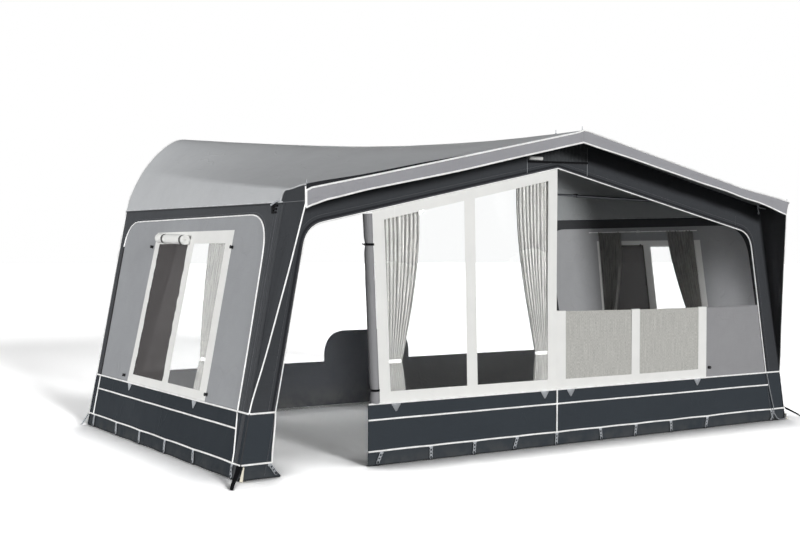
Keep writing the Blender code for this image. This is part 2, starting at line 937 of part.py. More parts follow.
def head_x(side):
    return side * (wall_x(arm_z(side)) - post_inset)


def head_centre(side):
    """The point where the axes of a head's poles meet."""
    return Vector((head_x(side), front_y + post_inset, arm_z(side)))


canopy_inset = cloth + gap + arm_radius + socket_wall  # the canopy pole's axis behind the valance's face


def canopy_point(x):
    """A point on the axis of the canopy's pole."""
    drop = roof_drop + (arm_radius + socket_wall) * gable_length_share
    return Vector((x, front_y - canopy_reach + canopy_inset, gable_z(x) - drop))


def arm_at_wall(side):
    """Height of a canopy arm where it passes the front wall."""
    head, tip = head_centre(side), canopy_point(head_x(side))
    return lerp(head.z, tip.z, (head.y - front_y) / (head.y - tip.y))


def pole_start(side, way, radius):
    """Where a pole starts in its socket, clear of the head's round body."""
    axis = lean_axis(side)
    out = (way - axis * way.dot(axis)).normalized()
    facing = way.dot(out)
    slant = math.sqrt(max(0, 1 - facing**2))
    return head_centre(side) + way * (head_radius + gap + radius * slant) / facing


def socket(name, side, way, radius):
    """A socket on a head, for a pole of this radius."""
    outer, bore = radius + socket_wall, radius + gap
    length = socket_length - socket_root
    profile = [(outer, length), (outer, 0), (bore, 0), (bore, length)]
    matrix = along(head_centre(side) + way * socket_root, way, UP)
    return turned(name, profile, matrix, black_plastic)


def leg(name, side, depth, inset, top):
    """A lower tube with its foot, standing on the floor and running up inside its post."""
    axis = lean_axis(side)
    start = post_point(side, foot_start, inset, depth)
    length = (top - foot_start) / axis.z
    base = tube(name, start, start + axis * length, leg_radius, leg_bore, steel)
    profile = [(0, cup_length), (leg_radius + cup_wall, cup_length), (cup_radius, 0), (0, 0)]
    cup = turned(name + "_cup", profile, along(start, axis), black_plastic, closed=False)
    centre = post_point(side, 0, inset, depth)
    disc = [(0, foot_thickness), (foot_radius - foot_chamfer, foot_thickness)]
    disc += [(foot_radius, foot_thickness - foot_chamfer), (foot_radius, 0), (0, 0)]
    pad = turned(name + "_pad", disc, Matrix.Translation(centre), black_plastic, closed=False)
    return fuse(base, cup, pad)


def clamp(name, matrix, foot, bore):
    """A moulded collar that grips the leg below the end of its post."""
    top = foot + clamp_length
    small = clamp_radius - clamp_chamfer
    profile = [
        (small, top),
        (clamp_radius, top - clamp_chamfer),
        (clamp_radius, foot + clamp_chamfer),
        (small, foot),
        (bore, foot),
        (bore, foot + clamp_overhang + clamp_bore_play),
        (post_bore + clamp_bore_play, foot + clamp_overhang + clamp_bore_play),
        (post_bore + clamp_bore_play, top),
    ]
    return turned(name, profile, matrix, black_plastic)


def lever_hinge():
    """A lever's hinge in the axes of its post's line, whose origin is at the clamp's foot."""
    out = clamp_radius + lever_clear + lever_barrel
    return Matrix.Translation((0, out, clamp_length - clamp_chamfer - ear_length / 2))


def post(name, side, depth, inset, top, lever):
    """An upper tube with its clamp, in the axes of its own line."""
    axis = lean_axis(side)
    foot = post_point(side, clamp_height, inset, depth)
    matrix = along(foot, axis)
    length = (top - clamp_height) / axis.z
    profile = [(post_radius, length), (post_radius, clamp_overhang), (post_bore, clamp_overhang), (post_bore, length)]
    base = turned(name, profile, matrix, steel)
    parts = [clamp(name + "_clamp", matrix, 0, leg_radius + gap)]
    if lever:
        reach = clamp_radius + ear_reach
        for way in (-1, 1):
            x = way * (lever_width / 2 + lever_side_clear + ear_width / 2)
            centre = (x, (reach + post_radius) / 2, clamp_length - ear_length / 2 - clamp_chamfer)
            size = (ear_width, reach - post_radius, ear_length)
            parts.append(block(name + "_ear", size, centre, matrix, black_plastic))
        half = lever_width / 2 + lever_side_clear + ear_width / 2
        pin = [(0, half), (pin_radius, half), (pin_radius, -half), (0, -half)]
        hinge = matrix @ lever_hinge() @ Matrix.Rotation(math.pi / 2, 4, "Y")
        parts.append(turned(name + "_pin", pin, hinge, steel, closed=False, sides=12))
    return base, parts


def lever(name, side, depth, inset):
    """The clamp's lever. Its origin is on its hinge, between the clamp's ears, and it hangs down when closed."""
    foot = post_point(side, clamp_height, inset, depth)
    matrix = along(foot, lean_axis(side)) @ lever_hinge()
    half = lever_width / 2
    bore = pin_radius + gap
    barrel = [(lever_barrel, half), (lever_barrel, -half), (bore, -half), (bore, half)]
    turn = Matrix.Rotation(math.pi / 2, 4, "Y")
    base = turned(name, barrel, matrix @ turn, black_plastic, sides=12)
    top = lever_barrel - lever_thickness / 2  # the handle leaves the barrel below its bore
    size = (lever_width, lever_thickness, lever_length - top)
    handle = block(name + "_handle", size, (0, 0, -(lever_length + top) / 2), matrix, black_plastic)
    lip_size = (lever_width, lever_lip, lever_thickness)
    lip_centre = (0, (lever_lip - lever_thickness) / 2, -lever_length)
    lip = block(name + "_lip", lip_size, lip_centre, matrix, black_plastic)
    return fuse(base, handle, lip)


def front_posts():
    for side, end in ((LEFT, "left"), (0, "centre"), (RIGHT, "right")):
        name = "front_post_" + end
        top = head_foot(side) - gap
        base, parts = post(name + "_upper", side, post_inset, post_inset, top, True)
        if side == 0:
            parts += centre_head()
        fuse(base, *parts)
        leg(name + "_lower", side, post_inset, post_inset, clamp_height + leg_engaged)
        lever(name + "_lever", side, post_inset, post_inset)


def head_body(name, side):
    """A corner head, moulded in one piece with the spigot that plugs into its post."""
    start = post_point(side, head_foot(side), post_inset, post_inset)
    height = head_height * slope_length_share
    profile = [
        (0, height),
        (head_radius - clamp_chamfer, height),
        (head_radius, height - clamp_chamfer),
        (head_radius, 0),
        (leg_radius, 0),
        (leg_radius, -spigot_length),
        (0, -spigot_length),
    ]
    return turned(name, profile, along(start, lean_axis(side)), black_plastic, closed=False)


def centre_head():
    """The middle post's head, fixed to it, with the short arm that carries the canopy's ridge."""
    overlap = spigot_length / 2
    height = head_height + overlap
    profile = [
        (0, height),
        (head_radius - clamp_chamfer, height),
        (head_radius, height - clamp_chamfer),
        (head_radius, 0),
        (0, 0),
    ]
    foot = Vector((0, front_y + post_inset, head_foot(0) - overlap))
    head = turned("centre_head", profile, Matrix.Translation(foot), black_plastic, closed=False)
    tip = canopy_point(0) - BACK * arm_radius
    arm = tube("centre_arm", head_centre(0), tip, arm_radius, arm_bore, steel, UP)
    parts = [head, arm, socket("centre_socket", 0, roof_pole_way(0), roof_pole_radius)]
    for side in (LEFT, RIGHT):
        parts.append(socket("gable_socket", 0, gable_way(side), gable_radius))
        way = canopy_way(side)
        outer, bore = arm_radius + socket_wall, arm_radius + gap
        length = tee_length - bore
        profile = [(outer, length), (outer, 0), (bore, 0), (bore, length)]
        tee = along(canopy_point(0) + way * arm_bore, way, UP)
        parts.append(turned("tee", profile, tee, black_plastic))
    return parts


def gable_way(side):
    """Direction of a gable pole, from the middle head down to its corner."""
    return (head_centre(side) - head_centre(0)).normalized()


def canopy_way(side):
    """Direction of a canopy pole, from the middle down to its corner."""
    return (canopy_point(head_x(side)) - canopy_point(0)).normalized()


def gable_poles():
    """The poles along the gable. Each carries its corner head, and plugs into the middle head's socket."""
    for side, end in ((LEFT, "left"), (RIGHT, "right")):
        start = pole_start(0, gable_way(side), gable_radius)
        name = "gable_pole_" + end
        base = tube(name, start, head_centre(side), gable_radius, gable_bore, steel)
        parts = [head_body(name + "_head", side)]
        parts.append(socket(name + "_roof_socket", side, roof_pole_way(side), roof_pole_radius))
        parts.append(socket(name + "_arm_socket", side, arm_way(side), arm_radius))
        fuse(base, *parts)


def arm_way(side):
    """Direction of a canopy arm, from its corner head forwards."""
    return (canopy_point(head_x(side)) - head_centre(side)).normalized()


def canopy_frames():
    """An arm from a corner head to the canopy's edge, and the pole along that edge to the middle arm."""
    for side, end in ((LEFT, "left"), (RIGHT, "right")):
        start = pole_start(side, arm_way(side), arm_radius)
        bend = canopy_point(head_x(side))
        last = canopy_point(0) + canopy_way(side) * (arm_radius * gable_length_share + gap)
        near = bend + (start - bend).normalized() * canopy_bend
        far = bend + (last - bend).normalized() * canopy_bend
        points = [start]
        for t in steps(0, 1, 4):
            points.append(near * (1 - t) ** 2 + bend * 2 * t * (1 - t) + far * t * t)
        points.append(last)
        wire("canopy_pole_" + end, points, arm_radius, steel)


def roof_pole_rear(side):
    """Where a roof pole's line meets the caravan."""
    if not side:
        return Vector((0, rear_y, rail_height - ridge_pole_drop))
    crease = rail_bend(crease_share)
    return Vector((side * (crease.x - roof_pole_inset), rear_y, crease.y - roof_pole_inset))


def roof_pole_way(side):
    return (roof_pole_rear(side) - head_centre(side)).normalized()


def roof_pole(name, side):
    """A front tube with a friction collar, and a rear tube that slides in it and presses its pad on the caravan."""
    way = roof_pole_way(side)
    head = head_centre(side)

    def at_depth(depth):
        return head + way * (depth - post_inset) / way.y

    front = pole_start(side, way, roof_pole_radius)
    joint = at_depth(roof_collar_depth)
    base = tube(name + "_front", front, joint, roof_pole_radius, roof_pole_bore, steel, UP)
    small = roof_collar_radius - clamp_chamfer
    half = roof_collar_length / 2
    outer_bore = roof_pole_bore + clamp_bore_play
    inner_bore = roof_slide_radius + gap
    profile = [
        (small, half),
        (roof_collar_radius, half - clamp_chamfer),
        (roof_collar_radius, clamp_chamfer - half),
        (small, -half),
        (outer_bore, -half),
        (outer_bore, -clamp_bore_play),
        (inner_bore, -clamp_bore_play),
        (inner_bore, half),
    ]
    fuse(base, turned(name + "_collar", profile, along(joint, way, UP), black_plastic))
    end = at_depth(room_depth - pad_thickness / 2)
    slide = tube(name + "_rear", joint - way * roof_slide_engaged, end, roof_slide_radius, roof_slide_bore, steel, UP)
    rim = pad_radius - pad_chamfer
    disc = [(0, pad_thickness), (rim, pad_thickness), (pad_radius, pad_thickness - pad_chamfer)]
    disc += [(pad_radius, pad_chamfer), (rim, 0), (0, 0)]
    face = Vector((end.x, rear_y - pad_thickness, end.z))
    fuse(slide, turned(name + "_pad", disc, along(face, BACK, UP), black_plastic, closed=False))


def roof_poles():
    for side, end in ((LEFT, "left"), (0, "centre"), (RIGHT, "right")):
        roof_pole("roof_pole_" + end, side)


def rear_posts():
    """Posts at the caravan, whose caps press the rear edge of a side wall against it."""
    depth = room_depth - rear_post_inset
    for side, end in ((LEFT, "left"), (RIGHT, "right")):
        name = "rear_post_" + end
        top = eave_rear - rear_post_drop
        base, parts = post(name + "_upper", side, depth, rear_post_inset, top, False)
        matrix = along(post_point(side, top, rear_post_inset, depth), lean_axis(side))
        reach = rear_post_inset / slope_length_share - cloth - gap
        centre = (side * reach / 2, 0, -cap_height / 2)
        parts.append(block(name + "_cap", (reach, cap_width, cap_height), centre, matrix, black_plastic))
        fuse(base, *parts)
        leg(name + "_lower", side, depth, rear_post_inset, clamp_height + leg_engaged)


def veranda_rail():
    """The rail behind the fold of the folded panel, between the middle post and the right corner post."""
    y = front_y + post_inset
    start = Vector((post_radius + gap, y, rail_height_inside))
    end_x = wall_x(rail_height_inside) - post_inset - (post_radius + gap) * slope_length_share
    end = Vector((end_x - rail_end_radius * lean_share, y, rail_height_inside))
    length = end.x - start.x
    profile = [
        (rail_end_radius, length),
        (rail_end_radius, length - rail_end_length),
        (rail_radius, length - rail_end_length),
        (rail_radius, rail_end_length),
        (rail_end_radius, rail_end_length),
        (rail_end_radius, 0),
        (0, 0),
        (0, length),
    ]
    turned("veranda_rail", profile, along(start, end - start), steel)


def zip_slider(name, side, height):
    """A slider on the zip of the front wall, with its tab. Its origin is on the zip's line."""
    matrix = along(Vector((side * zip_x(height), front_y, height)), lean_axis(side), -BACK)
    base = block(name, (zip_width, zip_depth, zip_length), (0, gap + zip_depth / 2, 0), matrix, steel, bevel=zip_tab_depth)
    tab_y = gap + zip_depth - zip_tab_depth / 2
    size = (zip_tab_width, zip_tab_depth, zip_tab_length)
    tab = block(name + "_tab", size, (0, tab_y, -zip_tab_length / 2), matrix, steel)
    fuse(base, tab)


roof()
valance()
wing(LEFT, "wing_left")
wing(RIGHT, "wing_right")
side_border(LEFT, "side_border_left")
side_border(RIGHT, "side_border_right")
side_window(LEFT, "left")
side_window(RIGHT, "right")
side_blind(LEFT, "side_blind_left")
side_blind(RIGHT, "side_blind_right")
front_border()
front_window()
door_roll()
half_panel()
mud_walls()
curtains()
skirt()
rail_bead()
front_posts()
gable_poles()
canopy_frames()
roof_poles()
rear_posts()
veranda_rail()
zip_slider("door_zip_slider", LEFT, mud_height + door_zip_rise)
zip_slider("half_zip_slider", RIGHT, fold_height + half_zip_rise)
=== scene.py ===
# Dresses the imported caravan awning: roof, walls, foil, curtains, piping, zips, ladders and tube finishes.
# Metres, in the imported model's own frame. Left and right are as seen from in front, looking at the caravan.
# Depth runs back from the front wall's face, and out is away from a wall's outer face.
import json
import math

import bmesh
import bpy
from mathutils import Matrix, Vector, noise

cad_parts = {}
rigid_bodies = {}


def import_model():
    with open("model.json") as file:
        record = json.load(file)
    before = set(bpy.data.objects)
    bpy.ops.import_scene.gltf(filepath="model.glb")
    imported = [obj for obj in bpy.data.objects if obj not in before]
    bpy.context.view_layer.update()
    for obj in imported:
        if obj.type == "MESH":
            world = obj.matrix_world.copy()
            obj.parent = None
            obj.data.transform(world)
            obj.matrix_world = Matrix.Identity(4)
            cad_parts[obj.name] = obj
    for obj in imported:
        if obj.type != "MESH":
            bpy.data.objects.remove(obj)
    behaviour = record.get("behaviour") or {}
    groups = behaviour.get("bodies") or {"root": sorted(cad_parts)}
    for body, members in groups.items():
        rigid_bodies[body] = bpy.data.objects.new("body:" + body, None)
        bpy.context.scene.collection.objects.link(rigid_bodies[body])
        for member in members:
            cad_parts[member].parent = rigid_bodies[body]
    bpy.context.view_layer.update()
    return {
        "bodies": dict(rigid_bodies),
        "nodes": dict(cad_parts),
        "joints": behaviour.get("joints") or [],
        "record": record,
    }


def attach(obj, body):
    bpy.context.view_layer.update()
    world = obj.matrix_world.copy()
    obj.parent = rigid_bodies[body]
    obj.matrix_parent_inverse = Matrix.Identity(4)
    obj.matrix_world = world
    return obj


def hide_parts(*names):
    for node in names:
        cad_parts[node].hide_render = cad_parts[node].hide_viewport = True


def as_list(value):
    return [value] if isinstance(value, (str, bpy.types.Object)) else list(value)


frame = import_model()
nodes = frame["nodes"]
sceneRoot = bpy.context.scene.collection
sides = (("left", -1), ("right", 1))

room = {
    "frontY": -1.355,  # the front wall's face
    "floorHalf": 2.675,
    "eaveHalf": 2.3315,
    "eaveFront": 1.808,
    "eaveRear": 1.838,
    "shoulder": 1.884,  # where the gable's slope starts
    "ridge": 2.384,
    "rail": 2.482,  # the height of the caravan's rail where it runs flat
    "railFlat": 1.80,  # half the width of that flat stretch
    "railBend": 0.45,
    "crease": 0.40,  # how far round the rail's curve the roof's crease ends
    "sag": 0.018,
    "rear": 2.9908,  # rear edge of the cloth, as a depth
    "canopy": 0.29,  # how far the canopy reaches out in front
    "band": 0.10,
    "mud": 0.428,  # the top of the mud walls
    "corner": 0.185,  # from a wall's edge in to the front's zip
    "header": 0.265,  # from the gable's slope down to the arch
    "archFillet": 0.13,
    "fold": 1.028,  # the height of the half window's folded edge
    "skirt": 2.988,  # where the draught skirt hangs, as a depth
}
lean = (room["floorHalf"] - room["eaveHalf"]) / room["eaveFront"]
slope = math.hypot(1, lean)


def lerp(a, b, t):
    return a + (b - a) * t


def ease(t):
    t = max(0.0, min(1.0, t))
    return t * t * (3 - 2 * t)


def spread(start, end, count):
    return [lerp(start, end, i / count) for i in range(count + 1)]


def wallX(z):
    return room["floorHalf"] - lean * z


shoulderX = wallX(room["shoulder"])
gableFall = (room["ridge"] - room["shoulder"]) / shoulderX


def gableZ(x):
    return room["ridge"] - gableFall * abs(x)


def archZ(x):
    return gableZ(x) - room["header"]


def zipX(z):
    return wallX(z) - room["corner"]


archX = zipX(0)
for _ in range(4):
    archX = zipX(archZ(archX))  # where the zip's upright meets the arch


def swell(x, y, size, seed):
    return noise.noise(Vector((x / size + seed * 7.3, y / size - seed * 3.1, seed * 1.7)))


# Folds in the cloth

folds = {
    "wallSwell": 0.0040,
    "wallRipple": 0.0011,
    "skirtWave": 0.004,
    "wingFold": 0.0080,
    "wingStart": 0.02,  # the depth at which a wing's folds begin
    "lobe": 0.0045,  # how far the mud walls' feet wave between their ladders
    "lobePitch": 0.43,
    "lobeTop": 0.16,
    "roofSwell": 0.0050,
}


def wallRelief(wall, a, z):
    # how far a wall's cloth stands out at depth or x = a; every layer of the wall shares it
    seed = {"left": 1, "right": 2, "front": 3, "skirt": 4}[wall]
    f, wave = folds, folds["skirtWave"]
    out = f["wallSwell"] * swell(a, z, 0.75, seed) + f["wallRipple"] * swell(a, z * 0.5, 0.16, seed + 5)
    if wall == "skirt":
        return abs(out) + wave + wave * math.sin(a * 9 + 2 * swell(a, z, 0.5, 9))
    ahead = f["wingStart"] - a
    if wall != "front" and ahead > 0:
        # folds fan out from a wing's foot
        fan = ahead / max(0.05, z - room["mud"] + 0.05)
        out += f["wingFold"] * math.sin(fan * 44 + 1.2) * ease(ahead / 0.12) * ease((1.8 - z) / 0.5)
    foot = ease((f["lobeTop"] - z) / f["lobeTop"])
    return out * (1 - 0.6 * foot) + f["lobe"] * foot * math.sin(a * 2 * math.pi / f["lobePitch"] + seed)


def wallNormal(wall):
    if wall in ("front", "skirt"):
        return Vector((0, -1, 0))
    return Vector((-1 if wall == "left" else 1, 0, lean)).normalized()


def onWall(wall, a, z, out=0.0):
    out += wallRelief(wall, a, z)
    if wall in ("front", "skirt"):
        return Vector((a, room["frontY"] + (room["skirt"] if wall == "skirt" else 0) - out, z))
    side = -1 if wall == "left" else 1
    return Vector((side * wallX(z), room["frontY"] + a, z)) + wallNormal(wall) * out


def wallTurn(wall, roll=0.0):
    # turns a small piece whose own X runs along the wall, Z up it and -Y out of it
    out = wallNormal(wall)
    up = (Vector((0, 0, 1)) - out * out.z).normalized()
    return Matrix(((-out).cross(up), -out, up)).transposed().to_4x4() @ Matrix.Rotation(roll, 4, "Y")


def railCurve(t):
    foot = Vector((wallX(room["eaveRear"]), room["eaveRear"]))
    top = Vector((room["railFlat"], room["rail"]))
    corner = Vector((wallX(room["rail"]), room["rail"]))
    a, b = foot.lerp(corner, room["railBend"]), top.lerp(corner, room["railBend"])
    return foot * (1 - t) ** 3 + a * 3 * t * (1 - t) ** 2 + b * 3 * t * t * (1 - t) + top * t**3


def onRoof(s, depth, out=0.0):
    # s runs from an eave, 0, over the crease, 3, to the ridge, 11
    share = max(0.0, min(1.0, depth / room["rear"]))
    if s < 3:
        front = Vector((wallX(room["eaveFront"]), room["eaveFront"]))
        front = front.lerp(Vector((shoulderX, room["shoulder"])), s / 3)
        rear = railCurve(room["crease"] * s / 3)
    else:
        x = shoulderX * (1 - (s - 3) / 8)
        front = Vector((x, gableZ(x)))
        if s < 8:
            rear = railCurve(lerp(room["crease"], 1, (s - 3) / 5))
        else:
            rear = Vector((room["railFlat"] * (1 - (s - 8) / 3), room["rail"]))
    x, z = front.lerp(rear, share)
    z -= room["sag"] * 4 * share * (1 - share) * min(1, s / 3)
    return Vector((x, room["frontY"] + depth, z + out))


# Materials


def tone(colour, lift=1.0):
    made = []
    for channel in colour:
        share = channel / 255
        made.append((share / 12.92 if share <= 0.04045 else ((share + 0.055) / 1.055) ** 2.4) * lift)
    return (*made, 1)


def wire(tree, node, wires):
    for socket, value in dict(wires).items():
        if isinstance(value, bpy.types.NodeSocket):
            tree.links.new(value, node.inputs[socket])
        else:
            node.inputs[socket].default_value = value
    return node


def addNode(tree, kind, wires=(), **fields):
    made = tree.nodes.new(kind)
    for field, value in fields.items():
        setattr(made, field, value)
    return wire(tree, made, wires)


def solve(tree, kind, wires=(), **fields):
    # a node's first result
    return addNode(tree, kind, wires, **fields).outputs[0]


def shapeOf(tree, kind, wires=(), **fields):
    return solve(tree, "GeometryNode" + kind, wires, **fields)


def maths(tree, operation, *values, clamp=False):
    return solve(tree, "ShaderNodeMath", enumerate(values), operation=operation, use_clamp=clamp)


def plus(tree, a, b):
    return maths(tree, "ADD", a, b)


def times(tree, first, *others):
    for value in others:
        first = maths(tree, "MULTIPLY", first, value)
    return first


def mixTone(tree, factor, a, b, blend="MIX"):
    wires = {0: factor, 6: a, 7: b}
    return addNode(tree, "ShaderNodeMix", wires, data_type="RGBA", blend_type=blend).outputs[2]


def noiseOf(tree, place, scale, detail=3.0, rough=0.5):
    wires = {"Vector": place, "Scale": scale, "Detail": detail, "Roughness": rough}
    return addNode(tree, "ShaderNodeTexNoise", wires).outputs["Fac"]


def streaks(tree, place, scale, detail=2.0, rough=0.5):
    # noise with its own scale along each axis
    moved = solve(tree, "ShaderNodeMapping", {"Vector": place, "Scale": scale}, vector_type="POINT")
    return noiseOf(tree, moved, 1.0, detail, rough)


def ranged(tree, value, low, high, toLow=0.0, toHigh=1.0):
    wires = {"Value": value, "From Min": low, "From Max": high, "To Min": toLow, "To Max": toHigh}
    return solve(tree, "ShaderNodeMapRange", wires, clamp=True)


def bumpOf(tree, height, strength, distance, **more):
    wires = {"Height": height, "Strength": strength, "Distance": distance, **more}
    return solve(tree, "ShaderNodeBump", wires)


def placeOf(tree, output="Object"):
    return addNode(tree, "ShaderNodeTexCoord").outputs[output]


def partsOf(tree, vector):
    return addNode(tree, "ShaderNodeSeparateXYZ", {0: vector}).outputs


def vectorMaths(tree, operation, *values):
    return addNode(tree, "ShaderNodeVectorMath", enumerate(values), operation=operation).outputs


def newGroup(name, kind, inputs, outputs):
    # an input is given by the number that it starts at or by its type
    tree = bpy.data.node_groups.new(name, kind)
    for label, start in inputs.items():
        socketType = {int: "Int", float: "Float"}.get(type(start), start)
        socket = tree.interface.new_socket(label, in_out="INPUT", socket_type="NodeSocket" + socketType)
        if socketType != start:
            socket.default_value = start
    for label in outputs:
        socketType = "NodeSocketGeometry" if label == "Geometry" else "NodeSocketFloat"
        tree.interface.new_socket(label, in_out="OUTPUT", socket_type=socketType)
    return tree, tree.nodes.new("NodeGroupInput").outputs, tree.nodes.new("NodeGroupOutput")


def weaveGroup():
    # plain weave with uneven threads, from a place on the cloth in metres
    inputs = {"Place": "Vector", "Threads": 700.0, "Slub": 0.3}
    tree, given, made = newGroup("weave", "ShaderNodeTree", inputs, ("Height", "Tint"))
    apart = partsOf(tree, given["Place"])
    turns = times(tree, given["Threads"], math.pi)
    waves = [maths(tree, "SINE", times(tree, apart[i], turns)) for i in (0, 1)]
    warp, weft = (streaks(tree, given["Place"], scale) for scale in ((420, 9, 1), (9, 420, 1)))
    threads = times(tree, plus(tree, warp, weft), 0.5)
    plain = maths(tree, "MULTIPLY_ADD", times(tree, *waves), 0.5, 0.5)
    height = plus(tree, plain, times(tree, threads, given["Slub"]))
    wire(tree, made, {"Height": height, "Tint": ranged(tree, threads, 0.36, 0.64)})
    return tree


def wearGroup():
    # large uneven fading, small creases from packing, and dust that rises from the ground
    inputs = {"Place": "Vector", "Dust reach": 0.2}
    tree, given, made = newGroup("clothWear", "ShaderNodeTree", inputs, ("Shade", "Crease", "Dust"))
    place = given["Place"]
    large, small = noiseOf(tree, place, 1.1, 4.0, 0.6), noiseOf(tree, place, 9.0, 3.0, 0.55)
    shade = plus(tree, times(tree, large, 0.7), times(tree, small, 0.3))
    bent = addNode(tree, "ShaderNodeTexNoise", {"Vector": place, "Scale": 2.5, "Detail": 2.0}).outputs["Color"]
    wires = {"Vector": vectorMaths(tree, "ADD", bent, place)[0], "Scale": 2.2}
    cells = addNode(tree, "ShaderNodeTexVoronoi", wires, feature="DISTANCE_TO_EDGE").outputs["Distance"]
    line = ranged(tree, cells, 0.0, 0.035, 1.0, 0.0)
    broken = ranged(tree, noiseOf(tree, place, 3.0), 0.48, 0.62)
    crease = plus(tree, times(tree, line, broken), streaks(tree, place, (5, 5, 2.2), 3.0))
    rise = maths(tree, "DIVIDE", partsOf(tree, place)[2], given["Dust reach"])
    fall = maths(tree, "SUBTRACT", 1.0, rise, clamp=True)
    dust = times(tree, fall, ranged(tree, small, 0.35, 0.6))
    wire(tree, made, {"Shade": ranged(tree, shade, 0.3, 0.7), "Crease": crease, "Dust": dust})
    return tree


weaveTree, wearTree = weaveGroup(), wearGroup()


def newMaterial(name, values=()):
    made = bpy.data.materials.new(name)
    made.use_nodes = True
    tree = made.node_tree
    return made, tree, wire(tree, tree.nodes["Principled BSDF"], values)


def wovenOf(tree, threads, slub):
    flat = solve(tree, "ShaderNodeUVMap", uv_map="cloth")
    wires = {"Place": flat, "Threads": threads, "Slub": slub}
    return flat, addNode(tree, "ShaderNodeGroup", wires, node_tree=weaveTree).outputs


def clothFinish(
    name, colour, rough, sheen, threads=700.0, weave=0.10, crease=0.5, contrast=0.06, dust=0.35, reach=0.22
):
    made, tree, shader = newMaterial(name, {"Specular IOR Level": sheen})
    _, woven = wovenOf(tree, threads, 0.3)
    wires = {"Place": placeOf(tree), "Dust reach": reach}
    worn = addNode(tree, "ShaderNodeGroup", wires, node_tree=wearTree).outputs
    base = mixTone(tree, woven["Tint"], tone(colour, 1 - contrast), tone(colour, 1 + contrast))
    faded = mixTone(tree, worn["Shade"], base, mixTone(tree, 1.0, base, (0.90, 0.90, 0.905, 1), "MULTIPLY"))
    fine = bumpOf(tree, woven["Height"], weave, 0.0008)
    wire(tree, shader, {
        "Base Color": mixTone(tree, times(tree, worn["Dust"], dust), faded, tone((150, 146, 138))),
        "Roughness": ranged(tree, worn["Shade"], 0, 1, rough - 0.06, rough + 0.06),
        "Normal": bumpOf(tree, worn["Crease"], crease, 0.006, Normal=fine),
    })
    return made


def streakedFinish(name, light, dark, share, low, high):
    # soft cloth with long uneven threads that run down it
    made, tree, shader = newMaterial(name, {"Roughness": 0.9, "Specular IOR Level": 0.1})
    flat, woven = wovenOf(tree, 500.0, 1.0)
    down, fine = streaks(tree, flat, (230, 5, 1), 3.0, 0.6), streaks(tree, flat, (900, 60, 1), 2.0, 0.6)
    both = plus(tree, times(tree, down, share), times(tree, fine, 1 - share))
    wire(tree, shader, {
        "Base Color": mixTone(tree, ranged(tree, both, low, high), tone(dark), tone(light)),
        "Normal": bumpOf(tree, plus(tree, woven["Height"], both), 0.35, 0.001),
    })
    return made


def netFinish(name, colour):
    # fine net: the holes between its threads let the light through
    made, tree, shader = newMaterial(name, {"Roughness": 0.8})
    height = wovenOf(tree, 420.0, 0.2)[1]["Height"]
    soft = streaks(tree, placeOf(tree), (3, 3, 1))
    wire(tree, shader, {
        "Base Color": mixTone(tree, soft, tone(colour, 0.8), tone(colour, 1.3)),
        "Alpha": ranged(tree, height, 0.2, 0.8, 0.76, 0.95),
        "Normal": bumpOf(tree, height, 0.3, 0.001),
    })
    return made


def foilFinish(name, colour):
    values = {"IOR": 1.25, "Transmission Weight": 1.0, "Base Color": tone(colour)}
    made, tree, shader = newMaterial(name, values)
    place = placeOf(tree)
    smear = streaks(tree, place, (7, 7, 3), 4.0, 0.6)
    wire(tree, shader, {
        "Roughness": ranged(tree, smear, 0.4, 0.7, 0.0, 0.03),
        "Normal": bumpOf(tree, streaks(tree, place, (2.2, 2.2, 1.0)), 0.10, 0.010),
    })
    return made


def plasticFinish(name, colour, rough, grain=900.0, bumpiness=0.15, values=()):
    made, tree, shader = newMaterial(name, values)
    place = placeOf(tree)
    large = noiseOf(tree, place, 14.0)
    wire(tree, shader, {
        "Base Color": mixTone(tree, ranged(tree, large, 0.35, 0.65), tone(colour, 0.88), tone(colour, 1.1)),
        "Roughness": ranged(tree, large, 0.3, 0.7, rough - 0.07, rough + 0.07),
        "Normal": bumpOf(tree, noiseOf(tree, place, grain, 2.0), bumpiness, 0.0006),
    })
    return made


# the zinc's colour is painted dark, as shade for the tubes that stand inside the awning
zincPaintedShade, black = (72, 74, 78), (26, 26, 28)


def tubeFinish(name, start, end, radius):
    # dull zinc, painted dark for the shade inside the awning, on the tube and moulded plastic on whatever stands
    # out from it
    made, tree, shader = newMaterial(name)
    place = placeOf(tree)
    along = (end - start).normalized()
    fromStart = vectorMaths(tree, "SUBTRACT", place, tuple(start))[0]
    across = vectorMaths(tree, "CROSS_PRODUCT", fromStart, tuple(along))[0]
    reach = vectorMaths(tree, "LENGTH", across)["Value"]
    plastic = maths(tree, "GREATER_THAN", reach, radius + 0.0012)
    spangle = addNode(tree, "ShaderNodeTexVoronoi", {"Vector": place, "Scale": 150.0}).outputs["Color"]
    grey = solve(tree, "ShaderNodeSeparateColor", {0: spangle})
    zinc = mixTone(tree, grey, tone(zincPaintedShade, 0.82), tone(zincPaintedShade, 1.08))
    wire(tree, shader, {
        "Base Color": mixTone(tree, plastic, zinc, tone(black)),
        "Metallic": maths(tree, "SUBTRACT", 0.9, times(tree, plastic, 0.9)),
        "Roughness": ranged(tree, noiseOf(tree, place, 20.0), 0.3, 0.7, 0.30, 0.48),
        "Normal": bumpOf(tree, noiseOf(tree, place, 700.0, 2.0), 0.1, 0.0005),
    })
    return made


